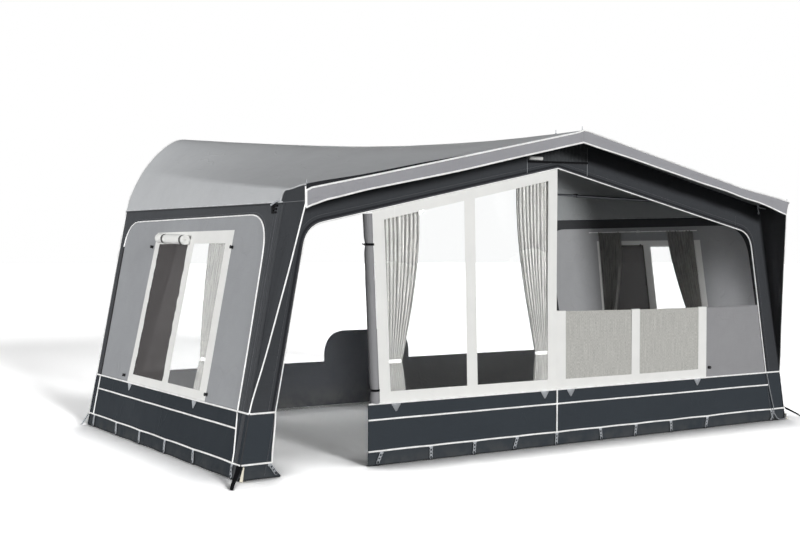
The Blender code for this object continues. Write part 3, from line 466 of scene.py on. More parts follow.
print("stage: materials")
finish, slots = {}, {}
dark = {"contrast": 0.08, "dust": 0.1}
muddy = {"weave": 0.05, "contrast": 0.03, "crease": 0.35, "dust": 0.10, "reach": 0.12}
for key, slot, name, *facts, changes in (
    # finish, material slot of the part, material, colour, roughness, sheen, what differs from plain cloth
    (
        "roof", "roof_cloth", "roof_cloth", (196, 198, 200), 0.70, 0.03,
        {"contrast": 0.03, "crease": 0.35, "dust": 0.0},
    ),
    # painted shade: the roof's inner face is a darker copy of the roof cloth, for the shade inside the awning
    ("roofInside", None, "roof_inside", (160, 163, 164), 0.85, 0.1, {"contrast": 0.04, "dust": 0.0}),
    (
        "panel", "panel_cloth", "panel_cloth", (162, 164, 167), 0.80, 0.08,
        {"contrast": 0.035, "crease": 0.4, "dust": 0.1},
    ),
    # painted light: the panels' inner face is a lighter copy of the panel cloth, to lift the shade inside the
    # awning
    ("panelInside", None, "panel_inside", (170, 171, 173), 0.85, 0.1, {"contrast": 0.04, "dust": 0.1}),
    (
        "frontPanel", "panel_cloth", "front_panel_cloth", (150, 150, 152), 0.80, 0.15,
        {"contrast": 0.04, "crease": 0.4, "dust": 0.1},
    ),
    ("band", "roof_cloth", "canopy_band_cloth", (158, 158, 162), 0.76, 0.08, {"contrast": 0.03, "dust": 0.0}),
    ("charcoal", "charcoal_cloth", "charcoal_cloth", (66, 68, 71), 0.80, 0.03, dark),
    # painted light: the side walls' charcoal is a lighter copy of the front's charcoal cloth, for how the light
    # falls on the side walls
    ("sideCharcoal", "charcoal_cloth", "side_charcoal_cloth", (78, 80, 83), 0.80, 0.03, dark),
    ("charcoalInside", None, "charcoal_inside", (68, 69, 71), 0.85, 0.04, dark),
    ("mud", "mud_wall_cloth", "mud_wall_cloth", (59, 64, 69), 0.55, 0.02, muddy),
    # painted shade: the side walls' mud cloth is a darker copy of the front's, against the sheen that the side
    # light puts on it
    ("sideMud", "mud_wall_cloth", "side_mud_cloth", (49, 54, 59), 0.55, 0.02, muddy),
    (
        "white", "white_frame_cloth", "white_frame", (239, 239, 236), 0.45, 0.3,
        {"weave": 0.03, "contrast": 0.008, "crease": 0.15, "dust": 0.03},
    ),
    (
        "ventNet", "charcoal_cloth", "vent_net", (62, 64, 66), 0.85, 0.15,
        {"threads": 420.0, "weave": 0.3, "contrast": 0.2, "dust": 0.0},
    ),
    (
        "skirt", "skirt_cloth", "skirt_cloth", (52, 54, 57), 0.8, 0.15,
        {"weave": 0.03, "contrast": 0.05, "crease": 0.2, "dust": 0.1},
    ),
    ("zipTape", "charcoal_cloth", "zip_tape", (46, 47, 50), 0.8, 0.03, {"contrast": 0.08, "dust": 0.0}),
):
    finish[key], slots[key] = clothFinish(name, *facts, **changes), slot
dull = {"Specular IOR Level": 0.1}
for key, slot, *facts in (
    # finish, material slot of the part, material, colour, roughness, then grain, bumpiness and shader values
    ("piping", "bead_plastic", "white_piping", (254, 254, 253), 0.42, 300.0, 0.05),
    ("rubber", "black_plastic", "grey_rubber", (170, 174, 179), 0.55),
    ("cream", "bead_plastic", "cream_plastic", (226, 220, 202), 0.5),
    ("plastic", "black_plastic", "black_plastic", black, 0.42, 900.0, 0.15, {"Specular IOR Level": 0.2}),
    ("webbing", "black_plastic", "black_webbing", (22, 22, 24), 0.8, 1400.0, 0.5, {"Specular IOR Level": 0.05}),
    ("zipTeeth", "zip_metal", "zip_teeth", (96, 98, 103), 0.4, 500.0, 0.1),
    ("zinc", "tube_steel", "zinc_wire", zincPaintedShade, 0.35, 600.0, 0.1, {"Metallic": 0.9}),
    ("stitch", "zip_metal", "grey_thread", (120, 122, 126), 0.8, 2000.0, 0.4),
    ("darkCord", "charcoal_cloth", "dark_cord", (56, 58, 61), 0.7, 900.0, 0.2, dull),
    ("hem", "charcoal_cloth", "roof_hem", (208, 210, 212), 0.7, 900.0, 0.2, dull),
    ("greyCord", "charcoal_cloth", "grey_cord", (140, 143, 147), 0.6, 900.0, 0.3),
    ("capSeam", "charcoal_cloth", "cap_seam", (112, 114, 117), 0.7, 900.0, 0.2, dull),
):
    finish[key], slots[key] = plasticFinish(*facts), slot
finish["net"], slots["net"] = netFinish("ventilation_net", (49, 45, 45)), "curtain_cloth"
finish["foil"], slots["foil"] = foilFinish("clear_foil", (250, 251, 251)), "clear_foil"
for key, *facts in (
    ("curtain", "curtain_cloth", (169, 168, 165), (92, 92, 89), 0.60, 0.36, 0.56),
    ("slub", "woven_cloth", (208, 207, 202), (140, 140, 136), 0.30, 0.36, 0.60),
):
    finish[key], slots[key] = streakedFinish(*facts), "curtain_cloth"


# Cloth


def rounded(corners, arcSteps=12):
    outline = []
    for i, (x, y, fillet) in enumerate(corners):
        here = Vector((x, y))
        if not fillet:
            outline.append((x, y))
            continue
        before, after = Vector(corners[i - 1][:2]), Vector(corners[(i + 1) % len(corners)][:2])
        start = here + (before - here).normalized() * fillet
        end = here + (after - here).normalized() * fillet
        for t in spread(0, 1, arcSteps):
            outline.append(tuple(start * (1 - t) ** 2 + here * 2 * t * (1 - t) + end * t**2))
    return outline


def divided(line, pitch, closed=False):
    # a line of (a, z) points with more points between them
    made = []
    ends = line[1:] + line[:1] if closed else line[1:]
    for (a, b), (c, d) in zip(line, ends):
        count = max(1, round(math.hypot(c - a, d - b) / pitch))
        made += [(lerp(a, c, i / count), lerp(b, d, i / count)) for i in range(count)]
    return made if closed else made + [line[-1]]


def wavy(loop, amount, seed, pitch=0.012):
    # a pane whose sides were sewn unevenly
    foot, top = (pick(y for _, y in loop) for pick in (min, max))
    made = []
    for x, y in divided(loop, pitch, True):
        inside = ease((y - foot) / 0.04) * ease((top - y) / 0.04)
        made.append((x + amount * inside * swell(x, y, 0.045, seed), y))
    return made


def newObject(name, mesh, materials=(), linked=True):
    data = bpy.data.meshes.new(name)
    mesh.to_mesh(data)
    mesh.free()
    for made in materials:
        data.materials.append(finish[made])
    obj = bpy.data.objects.new(name, data)
    if linked:
        sceneRoot.objects.link(obj)
    return obj


def keep(obj, slot, replaces=()):
    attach(obj, "awning")
    if replaces:
        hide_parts(*replaces)
    return obj


def clothObject(
    name, mesh, outward, outer, inner, thick, held="stretched", rests=(), replaces=(), slot=None, strip=None
):
    faces = list(mesh.faces)
    if sum(face.normal.dot(outward(face.calc_center_median())) * face.calc_area() for face in faces) < 0:
        bmesh.ops.reverse_faces(mesh, faces=faces)
    layer = mesh.loops.layers.uv["cloth"]
    area, low, high = 0.0, [9e9, 9e9], [-9e9, -9e9]
    for face in faces:
        face.smooth = True
        spots = [loop[layer].uv for loop in face.loops]
        area += abs(sum(p.x * q.y - q.x * p.y for p, q in zip(spots, spots[1:] + spots[:1]))) / 2
        for spot in spots:
            low = [min(a, b) for a, b in zip(low, spot)]
            high = [max(a, b) for a, b in zip(high, spot)]
    for edge in mesh.edges:
        edge.smooth = not edge.is_boundary
    obj = newObject(name, mesh, (outer, inner or outer))
    wall = obj.modifiers.new("thickness", "SOLIDIFY")
    wall.thickness = thick
    wall.offset = -1
    wall.material_offset = 1
    wall.use_quality_normals = True
    keep(obj, slot or slots[outer], replaces)
    flat = (high[0] - low[0], high[1] - low[1])
    if strip:
        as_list(rests)
    elif area > 0.3 * flat[0] * flat[1]:
        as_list(rests)
    return obj


def flatCloth(name, wall, loops, outer, inner=None, out=0.0, pitch=0.06, thick=0.0008, shape=None, **facts):
    # a flat cut on a wall: the first loop is its edge, the others are holes
    mesh = bmesh.new()
    edges = []
    for loop in loops:
        verts = [mesh.verts.new((x, y, 0)) for x, y in loop]
        edges += [mesh.edges.new((verts[i - 1], verts[i])) for i in range(len(verts))]
    bmesh.ops.triangle_fill(mesh, use_beauty=True, use_dissolve=False, edges=edges)
    for axis in (0, 1):
        low, high = (pick(p[axis] for p in loops[0]) for pick in (min, max))
        for at in spread(low, high, max(1, int((high - low) / pitch)))[1:-1]:
            middle, normal = [0, 0, 0], [0, 0, 0]
            middle[axis], normal[axis] = at, 1
            geometry = mesh.verts[:] + mesh.edges[:] + mesh.faces[:]
            bmesh.ops.bisect_plane(mesh, geom=geometry, dist=1e-5, plane_co=middle, plane_no=normal)
    layer = mesh.loops.layers.uv.new("cloth")
    for face in mesh.faces:
        for loop in face.loops:
            loop[layer].uv = (loop.vert.co.x, loop.vert.co.y * (1 if wall in ("front", "skirt") else slope))
    for vert in mesh.verts:
        a, z = vert.co.x, vert.co.y
        vert.co = shape(a, z) if shape else onWall(wall, a, z, out)
    mesh.normal_update()
    return clothObject(name, mesh, lambda _: wallNormal(wall), outer, inner, thick, **facts)


def gridCloth(name, rows, outward, outer, inner=None, thick=0.0008, skip=None, **facts):
    # a cloth through rows of points; outward gives the way that its outer face looks
    mesh = bmesh.new()
    layer = mesh.loops.layers.uv.new("cloth")
    made = [[mesh.verts.new(point) for point in row] for row in rows]
    flat = []
    rise = 0.0
    for r, row in enumerate(rows):
        half = len(row) // 2
        rise += (row[half] - rows[r - 1][half]).length if r else 0
        run = [0.0]
        for p, q in zip(row, row[1:]):
            run.append(run[-1] + (q - p).length)
        flat.append([(u - run[-1] / 2, rise) for u in run])
    for r in range(len(rows) - 1):
        for c in range(len(rows[r]) - 1):
            if skip and skip(c, r):
                continue
            corners = ((r, c), (r, c + 1), (r + 1, c + 1), (r + 1, c))
            face = mesh.faces.new([made[i][j] for i, j in corners])
            for loop, (i, j) in zip(face.loops, corners):
                loop[layer].uv = flat[i][j]
    bmesh.ops.delete(mesh, geom=[v for v in mesh.verts if not v.link_faces], context="VERTS")
    mesh.normal_update()
    return clothObject(name, mesh, outward, outer, inner, thick, **facts)


print("stage: roof and canopy")
roofSizes = {"columns": 4, "rowPitch": 0.06, "thickness": 0.0009}
bandSizes = {
    "heights": (
        (-2.34, 0.132), (-2.29, 0.118), (-2.15, 0.103), (-1.85, 0.093), (-1.15, 0.100), (-0.5, 0.093),
        (0.0, 0.090), (0.65, 0.078), (1.2, 0.074), (1.56, 0.066), (1.85, 0.072), (2.34, 0.100),
    ),
    "slant": 0.040,  # how far the band's right end leans in at its foot
    "bow": 0.004,
    "pipingDrop": (0.0085, -0.0065),  # from the roof's edge to the band's top piping, left and right of the ridge
    "cornerOut": 0.018,  # how far the canopy's top corners reach past the walls' line
    "cornerLift": 0.022,  # how much higher the right one stands
    "capLift": 0.020,  # how much higher the roof and the wing's cap stand than the band at the left one
    "wingPull": 0.032,  # how far the right wing's free edge is drawn in
}


def cornerMove(x, depth):
    near = ease(-depth / room["canopy"]) * ease((abs(x) - 1.7) / 0.55)
    lift = bandSizes["cornerLift"] * near if x > 0 else 0.0
    return Vector((math.copysign(bandSizes["cornerOut"], x) * near, 0, lift))


def roofLift(x, depth):
    # the roof's edge stands up from the band's piping towards the left corner
    high = 0.008 * ease((-x - 0.8) / 1.05) + (bandSizes["capLift"] - 0.008) * ease((-x - 1.85) / 0.45)
    return high * ease(-depth / room["canopy"])


def bandHeight(x):
    heights = bandSizes["heights"]
    for (a, low), (b, high) in zip(heights, heights[1:]):
        if x <= b:
            return lerp(low, high, ease((x - a) / (b - a)))
    return heights[-1][1]


def bandPoint(x, share, out=0.0):
    # a place on the canopy's band, from its top, 0, to its foot, 1
    s = bandSizes
    bow = s["bow"] * math.sin(math.pi * share) * (0.5 + swell(x, 0, 0.3, 21)) + 0.002 * swell(x, 0, 0.8, 22)
    drop = bandHeight(x) * share + 0.010 * (1 - share) * ease((-x - shoulderX + 0.03) / 0.03)
    slant = s["slant"] * ease((x - 1.9) / 0.42) * share
    spot = Vector((x - slant, room["frontY"] - room["canopy"] - bow - out, gableZ(x) - drop))
    return spot + cornerMove(x, -room["canopy"])


def wingPoint(end, a, z, out=0.0):
    # a place on a wing: its top runs out to the canopy's corner, and the right wing's free edge is drawn in
    spot = onWall(end, a, z, out)
    side = -1 if end == "left" else 1
    near = ease(-a / room["canopy"])
    foot = room["shoulder"] - room["band"]
    high = max(0.0, min(1.0, (z - foot) / room["band"]))
    spot.x += side * bandSizes["cornerOut"] * near * high
    if side > 0:
        low = max(0.0, min(1.0, (z - room["mud"]) / (foot - room["mud"])))
        spot.x -= bandSizes["wingPull"] * near * low * (1 - high)
        spot.z += bandSizes["cornerLift"] * near * ease((z - 1.6) / 0.28)
    else:
        spot.z += bandSizes["capLift"] * near * ease((z - 1.80) / 0.08)
    return spot


def buildRoof():
    count = 11 * roofSizes["columns"]
    steps = [11 * i / count for i in range(count + 1)]
    line = [(-1, s) for s in steps] + [(1, s) for s in steps[-2::-1]]
    depths = spread(0.0027 - room["canopy"], 0, 5) + spread(0, 0.02, 1)[1:]
    depths += spread(0.02, room["rear"], int(room["rear"] / roofSizes["rowPitch"]))[1:]
    rows = []
    for depth in depths:
        row = []
        for side, s in line:
            point = onRoof(s, depth)
            point.x *= side
            point.z += roofLift(point.x, depth)
            point += cornerMove(point.x, depth)
            taut = min(1, s / 1.5) * ease(depth / 0.25) * ease((room["rear"] - depth) / 0.3)
            fold = swell(point.x, depth, 0.9, 11) + 0.35 * swell(point.x * 2, depth, 0.3, 12)
            point.z += folds["roofSwell"] * fold * taut
            row.append(point)
        rows.append(row)
    low = 3 * roofSizes["columns"]

    def skip(c, r):
        return depths[r + 1] <= 0.0201 and (c < low or c >= len(line) - 1 - low)

    gridCloth(
        "roof_cover", rows, lambda _: Vector((0, 0, 1)), "roof", "roofInside", roofSizes["thickness"], skip,
        rests=("gable_pole_left", "gable_pole_right", "roof_pole_centre_front"), replaces=("roof_panel",),
    )


def buildBand():
    columns = spread(-shoulderX, shoulderX, 150)
    rows = [[bandPoint(x, share) for x in columns] for share in spread(0, 1, 6)]
    gridCloth(
        "canopy_band", rows, lambda _: Vector((0, -1, 0)), "band", "charcoalInside", held="hung",
        rests=("canopy_pole_left", "canopy_pole_right"), replaces=("canopy_valance",), strip=0.1,
    )


def capLine():
    # the outline of the cap over a wing's top, from its rear foot round to its front foot
    tip, top = -room["canopy"], room["shoulder"] - 0.001
    return rounded([(0.062, 1.80, 0), (0.044, top, 0.045), (tip, top, 0.004), (tip, 1.80, 0)])


def buildWings():
    tip, top = 0.0023 - room["canopy"], room["shoulder"] - 0.005
    corners = [(0.0197, room["mud"], 0), (0.0197, top, 0.045), (tip, top, 0)]
    corners += [(tip, room["shoulder"] - room["band"], 0), (0, room["mud"], 0)]
    for end, _ in sides:
        for name, outline, out, facts in (
            (
                "wing_sheet_", rounded(corners), 0.0,
                {"inner": "charcoalInside", "rests": ("canopy_pole_" + end,), "replaces": ("wing_" + end,)},
            ),
            ("wing_cap_", capLine(), 0.0014, {"rests": ("wing_sheet_" + end,)}),
        ):
            flatCloth(
                name + end, end, [outline], "charcoal", pitch=0.03,
                shape=lambda a, z, out=out: wingPoint(end, a, z, out), **facts,
            )


buildRoof()
buildBand()
buildWings()

print("stage: side walls")
sideSizes = {
    "front": 0.165,
    "frontTop": 0.192,
    "back": 2.87,
    "top": 1.728,
    "frontFillet": 0.28,
    "backFillet": 0.26,
    "windowFront": 0.705,
    "windowBackTop": 2.155,
    "windowBackFoot": 2.243,
    "windowTop": 1.630,
    "frontStrip": 0.115,
    "backStrip": 0.092,
    "mullion": 0.112,
    "topStrip": 0.092,
    "footStrip": 0.070,
    "seam": 0.030,
    "lap": 0.018,  # how far a pane reaches in under its frame
    "netWave": 0.012,
}


def sideArch():
    s, foot = sideSizes, room["mud"]
    front, back = (s["frontTop"], s["top"], s["frontFillet"]), (s["back"], s["top"], s["backFillet"])
    return rounded([(s["front"], foot, 0), front, back, (s["back"], foot, 0)])


def twoPanes(near, far, foot, top, nearStrip, farStrip, mullion):
    # two panes between slanting edges near(z) and far(z); top(a) is the height of a pane's top
    def middle(z):
        return (near(z) + far(z)) / 2

    panes = []
    for a, b in (
        (lambda z: near(z) + nearStrip, lambda z: middle(z) - mullion / 2),
        (lambda z: middle(z) + mullion / 2, lambda z: far(z) - farStrip),
    ):
        corners = [(a(foot), foot)]
        for edge in (a, b):
            height = top(edge(foot))
            corners.append((edge(height), top(edge(height))))
        panes.append(corners + [(b(foot), foot)])
    return panes


def sidePanes():
    s, foot = sideSizes, room["mud"]

    def far(z):
        return lerp(s["windowBackFoot"], s["windowBackTop"], (z - foot) / (s["windowTop"] - foot))

    return twoPanes(
        lambda z: s["windowFront"], far, foot + s["footStrip"], lambda a: s["windowTop"] - s["topStrip"],
        s["frontStrip"], s["backStrip"], s["mullion"],
    )


def grown(quad, distance):
    # a four-cornered outline with its corners moved away from its middle
    middle = sum((Vector(p) for p in quad), Vector((0, 0))) / 4
    return [tuple(p[i] + math.copysign(distance, p[i] - middle[i]) for i in (0, 1)) for p in quad]


def buildSide(end, side):
    s, mud, rear, seam = sideSizes, room["mud"], room["rear"], sideSizes["seam"]
    border = sideArch() + [(rear, mud), (rear, room["eaveRear"]), (0.02, room["eaveFront"]), (0.02, mud)]
    flatCloth(
        "side_border_sheet_" + end, end, [border], "sideCharcoal", "charcoalInside", strip=0.16,
        rests=("rear_post_%s_upper" % end, "roof_cover"), replaces=("side_border_" + end,),
    )
    front, top, backTop, backFoot = (s["window" + part] for part in ("Front", "Top", "BackTop", "BackFoot"))
    outline = [(front, mud), (front, top), (backTop, top), (backFoot, mud)]
    hole = [(front + seam, mud + seam), (front + seam, top - seam)]
    hole += [(backTop - seam, top - seam), (backFoot - seam, mud + seam)]
    flatCloth(
        "side_panel_sheet_" + end, end, [sideArch(), hole], "panel", "panelInside",
        rests=("side_border_sheet_" + end,), replaces=("side_panel_" + end,),
    )
    near, far = sidePanes()
    frame = "side_frame_sheet_" + end
    flatCloth(
        frame, end, [outline, near, wavy(far, s["netWave"], side + 3)], "white", out=0.0018, pitch=0.05, strip=0.1,
        rests=("side_panel_sheet_" + end,), replaces=("side_window_frame_" + end,),
    )
    facts = {"rests": (frame,), "replaces": ("side_window_foil_" + end,)}
    foil = flatCloth(
        "side_foil_" + end, end, [grown(near, s["lap"])], "foil", out=0.0002, pitch=0.05, thick=0.0005, **facts
    )
    foil.visible_shadow = False
    flatCloth("side_net_" + end, end, [grown(far, s["lap"])], "net", out=-0.0006, pitch=0.04, thick=0.0004, **facts)


def spiralRoll(name, start, along, outward, length, cut, radius, core, pinches, backing, outer, **facts):
    # cloth wound on itself; pinches are where straps draw it in, as lengths along it
    along = along.normalized()
    outward = (outward - along * outward.dot(along)).normalized()
    across = along.cross(outward)
    pitch = math.pi * (radius**2 - core**2) / cut
    turns = (radius - core) / pitch
    rows = []
    for t in spread(0, length, max(8, int(length / 0.02))):
        squeeze = 1 - sum(0.16 * math.exp(-(((t - p) / 0.035) ** 2)) for p in pinches)
        squeeze -= 0.04 * abs(swell(t, 0, 0.13, 31))
        middle = start + along * t - outward * radius * (1 - squeeze) * backing
        row = []
        for i in range(int(turns * 20) + 1):
            angle = i * math.pi / 10
            r = (core + pitch * angle / (2 * math.pi)) * squeeze * (1 + 0.02 * swell(t * 2, angle, 0.6, 32))
            turn = angle - turns * 2 * math.pi - 2.0
            row.append(middle + outward * r * math.cos(turn) + across * r * math.sin(turn))
        rows.append(row)
    middleLine = start + along * length / 2

    def outwardAt(point):
        away = point - middleLine
        return away - along * away.dot(along)

    gridCloth(name, rows, outwardAt, outer, thick=0.7 * pitch, held="folded", **facts)


rollSizes = {
    "blind": 0.042,
    "blindCut": 1.06,
    "blindFront": 1.465,
    "blindBack": 1.990,
    "blindHeight": 1.558,
    "blindRise": 0.018,  # from its front end to its rear end
    "door": 0.037,
    "doorCut": 0.78,
    "doorLength": 1.31,
    "core": 0.007,
    "strap": 0.016,
}
straps = []  # (middle, along, outward, radius) of each strap round a roll


def buildBlind(end, side):
    radius, rise = rollSizes["blind"], rollSizes["blindRise"]
    height, front, back = (rollSizes["blind" + part] for part in ("Height", "Front", "Back"))
    out = wallNormal(end)
    start = Vector((side * wallX(height), room["frontY"] + front, height)) + out * (0.0021 + radius)
    along = Vector((-side * lean * rise, back - front, rise))
    pinches = (0.045, 0.41)
    spiralRoll(
        "side_blind_roll_" + end, start, along, out, along.length, rollSizes["blindCut"], radius, rollSizes["core"],
        pinches, 1, "white", replaces=("side_blind_" + end,), rests=("side_frame_sheet_" + end,),
    )
    along.normalize()
    straps.extend((start + along * at - out * radius * 0.16, along, out, radius * 0.86) for at in pinches)


for end, side in sides:
    buildSide(end, side)
    buildBlind(end, side)

print("stage: front wall")
frontSizes = {
    "topEdge": 1.661,
    "footEdge": 1.598,
    "strip": 0.092,
    "seamStrip": 0.090,
    "mullion": 0.095,
    "topStrip": 0.080,
    "footStrip": 0.080,
    "foilLap": 0.015,
    "rollForward": 0.012,
    "mudEdge": 1.697,
}
halfSizes = {
    "edge": 1.655,
    "first": 0.092,
    "mullionStart": 0.789,
    "mullion": 0.089,
    "last": 0.098,
    "footStrip": 0.076,
    "sag": 0.007,
    "length": 2.2,
    "lip": 0.05,  # the cloth past the fold
    "foldRadius": 0.006,
    "inset": 0.02,
}


def frontEdge(z):
    share = (z - room["mud"]) / (archZ(frontSizes["topEdge"]) - room["mud"])
    return -lerp(frontSizes["footEdge"], frontSizes["topEdge"], share)


def frontPanes():
    s = frontSizes
    return twoPanes(
        frontEdge, lambda z: 0.0, room["mud"] + s["footStrip"], lambda x: archZ(x) - s["topStrip"],
        s["strip"], s["seamStrip"], s["mullion"],
    )


def archLine():
    mud, fillet = room["mud"], room["archFillet"]
    right = [(archX, archZ(archX), fillet), (zipX(mud), mud, 0)]
    return rounded([(-x, z, turn) for x, z, turn in right[::-1]] + [(0, archZ(0), 0)] + right)


def buildFront():
    s, mud = frontSizes, room["mud"]
    top, inset = room["shoulder"] - 0.006, 0.0025
    half = [(wallX(mud) - inset, mud), (wallX(top) - inset, top)]
    outer = [(-x, z) for x, z in half] + [(0, gableZ(0) - 0.004)] + half[::-1]
    flatCloth(
        "front_border_sheet", "front", [outer + archLine()[::-1]], "charcoal", "charcoalInside", strip=0.22,
        rests=("gable_pole_left", "gable_pole_right"), replaces=("front_border",),
    )
    edge = s["topEdge"]
    outline = [(frontEdge(mud), mud), (-edge, archZ(edge)), (-0.0002, archZ(0)), (-0.0002, mud)]
    panes = frontPanes()
    flatCloth(
        "front_frame_sheet", "front", [outline] + panes, "white", pitch=0.05, strip=0.09,
        rests=("front_border_sheet",), replaces=("front_window_frame",),
    )
    around = [panes[0][0], panes[0][1], panes[1][2], panes[1][3]]
    flatCloth(
        "front_foil_sheet", "front", [grown(around, s["foilLap"])], "foil", out=-0.0012, thick=0.0005,
        rests=("front_frame_sheet",), replaces=("front_window_foil",),
    ).visible_shadow = False
    radius, topZ = rollSizes["door"], mud + rollSizes["doorLength"]
    rise = Vector((frontEdge(topZ) - frontEdge(mud), 0, topZ - mud))
    left = frontEdge(mud) - (radius - 0.004) * rise.length / rise.z
    start = Vector((left, room["frontY"] + s["rollForward"], mud + radius * abs(rise.x) / rise.z))
    right, pinches = Vector((1, 0, 0)), (0.092, 1.10)
    spiralRoll(
        "door_panel_roll", start, rise, right, rise.length, rollSizes["doorCut"], radius, rollSizes["core"],
        pinches, -0.6, "frontPanel", replaces=("door_roll",), rests=("front_frame_sheet",),
    )
    rise.normalize()
    straps.extend((start + rise * at + right * radius * 0.10, rise, right, radius * 0.87) for at in pinches)


def foldTop(x):
    # the folded edge sags a little between its fixings
    drop = halfSizes["sag"] * math.sin(math.pi * max(0, min(1, x / halfSizes["length"])))
    return room["fold"] - drop + 0.002 * swell(x, 0, 0.2, 41)


def buildHalf():
    s, mud, fold = halfSizes, room["mud"], room["fold"]
    stripTop, lip, radius = mud + s["footStrip"], fold + s["lip"], s["foldRadius"]

    def shape(x, z):
        # the cloth rolls over at the fold and hangs down a little behind it
        edge = foldTop(x)
        over = max(0.0, z - fold)
        if over <= math.pi * radius:
            angle = over / radius
            inward, rise = radius * (1 - math.cos(angle)), radius * math.sin(angle)
        else:
            inward, rise = 2 * radius, -(over - math.pi * radius)
        return onWall("front", x, z * edge / fold if z <= fold else edge, 0) + Vector((0, inward, rise))

    middle = s["mullionStart"]
    spans = [(0.0002, s["first"]), (middle, middle + s["mullion"]), (s["edge"] - s["last"], s["edge"])]
    outline = [(s["edge"], mud), (0.0002, mud)]
    for i, (start, end) in enumerate(spans):
        outline += [(start, stripTop)] if i else []
        outline += [(start, lip), (end, lip)]
        outline += [(end, stripTop)] if i < 2 else []
    facts = {"shape": shape, "held": "folded", "rests": ("veranda_rail", "mud_sheet_front")}
    flatCloth(
        "half_frame_sheet", "front", [outline], "white", pitch=0.012, replaces=("half_window_frame",), strip=0.09,
        **facts,
    )
    start = s["edge"] + 0.0003
    panel = [(start, mud), (start, lip), (zipX(lip) - 0.0003, lip), (zipX(mud) - 0.0003, mud)]
    flatCloth(
        "half_panel_sheet", "front", [panel], "frontPanel", "panelInside", pitch=0.025, replaces=("half_panel",),
        **facts,
    )

    def curtainShape(x, z):
        pleat = 1 - math.cos(x * 2 * math.pi / 0.11 + 1.5 * swell(x, z, 0.2, 42))
        wave = 0.0016 * pleat * (0.4 + 0.6 * ease((z - mud) / 0.5))
        return onWall("front", x, min(z, foldTop(x) - 0.001), 0) + Vector((0, 0.0024 + wave, 0))

    near, far, foot = s["inset"], s["edge"] - s["inset"], mud + s["inset"]
    flatCloth(
        "half_curtain_sheet", "front", [[(near, foot), (near, lip - 0.05), (far, lip - 0.05), (far, foot)]], "slub",
        pitch=0.014, thick=0.0006, shape=curtainShape, held="hung", rests=("half_frame_sheet",),
        replaces=("half_curtain",),
    )


buildFront()
buildHalf()

print("stage: mud walls and skirt")
mudSizes = {
    "flap": 0.025,  # how far the mud walls lie inwards on the ground
    "cut": 0.0255,  # how far the flap's corners are cut back
    "bend": 0.010,
    "inset": 0.0035,  # from a side wall's face to the end of the front mud wall or the skirt
    "archLeft": -0.36,  # the skirt's raised part
    "archRight": 0.62,
    "archTop": 0.72,
    "archRound": 0.24,
}


def cornerEdge(z):
    # the free edge of the left corner piece, which runs in under the zip and flares at the ground
    return -zipX(room["mud"]) - 0.026 * ease((room["mud"] - z) / 0.33) + 0.070 * ease((0.09 - z) / 0.09)


def buildMudWall(name, point, count, outward, made, replaces, rests):
    # rows from the flap's inner edge on the ground, round its bend and up the wall
    bend, flap = mudSizes["bend"], mudSizes["flap"]
    profile = [(flap, 0.0), (flap * 0.7, 0.0)]
    profile += [(bend * (1 - math.sin(a)), bend * (1 - math.cos(a))) for a in spread(0, math.pi / 2, 4)]
    profile += [(0, z) for z in spread(bend, room["mud"], 12)[1:]]
    rows = [[point(share, inward, z) for share in spread(0, 1, count)] for inward, z in profile]
    for spot in (spot for row, (_, z) in zip(rows, profile) for spot in row if z < 0.011):
        spot.z = max(0.0012, spot.z)
    gridCloth(name, rows, lambda _: outward, made, "charcoalInside", 0.0011, rests=rests, replaces=(replaces,))


def buildMud():
    s = mudSizes
    for end, side in sides:

        def point(share, inward, z):
            cut = s["cut"] if inward > 0.011 else 0
            return onWall(end, lerp(cut, room["rear"] - cut, share), z) - Vector((side, 0, 0)) * inward

        panel = ("side_panel_sheet_" + end,)
        buildMudWall("mud_sheet_" + end, point, 70, wallNormal(end), "sideMud", "mud_wall_" + end, panel)

    def corner(z, inward):
        if inward > 0.005:
            return room["floorHalf"] - s["cut"]
        return wallX(z) - s["inset"] - 0.015 * ease((0.03 - z) / 0.03)

    for name, left, right, replaces in (
        ("mud_sheet_front", lambda z, i: -frontSizes["mudEdge"], lambda z, i: zipX(z) - 0.0002, "mud_wall_front"),
        ("mud_corner_sheet_right", lambda z, i: zipX(z) + 0.0002, corner, "mud_corner_right"),
        ("mud_corner_sheet_left", lambda z, i: -corner(z, i), lambda z, i: cornerEdge(z), "mud_corner_left"),
    ):

        def point(share, inward, z):
            return onWall("front", lerp(left(z, inward), right(z, inward), share), z) + Vector((0, inward, 0))

        count = max(6, round((right(0.2, 0) - left(0.2, 0)) / 0.05))
        frames = ("front_border_sheet", "front_frame_sheet")
        buildMudWall(name, point, count, wallNormal("front"), "mud", replaces, frames)


def buildSkirt():
    s, mud, inset = mudSizes, room["mud"], mudSizes["inset"]
    half = [(room["floorHalf"] - s["cut"], 0.001), (wallX(0.01) - inset, 0.01), (wallX(mud) - inset, mud)]
    left, right, top = s["archLeft"], s["archRight"], (s["archTop"], s["archRound"])
    arch = rounded([(left, mud, 0), (left, *top), (right, *top), (right, mud, 0)])
    flatCloth(
        "skirt_sheet", "skirt", [[(-x, z) for x, z in half] + arch + half[::-1]], "skirt", held="hung",
        rests=("mud_sheet_left", "mud_sheet_right"), replaces=("draught_skirt",),
    )


buildMud()
buildSkirt()

print("stage: curtains")
curtainSizes = {
    "rise": 0.065,
    "width": 0.315,
    "tieWidth": 0.120,
    "footWidth": 0.142,
    "foot": 0.455,
    "tie": 0.715,
    "margin": 0.012,
    "pleats": 9,
    "topFold": 0.030,
    "tieFold": 0.034,
    "bandHeight": 0.024,
    "frontFace": -0.0045,  # from a wall's outer face to a curtain's
    "sideFace": -0.003,
    "frontDrop": 0.045,
}


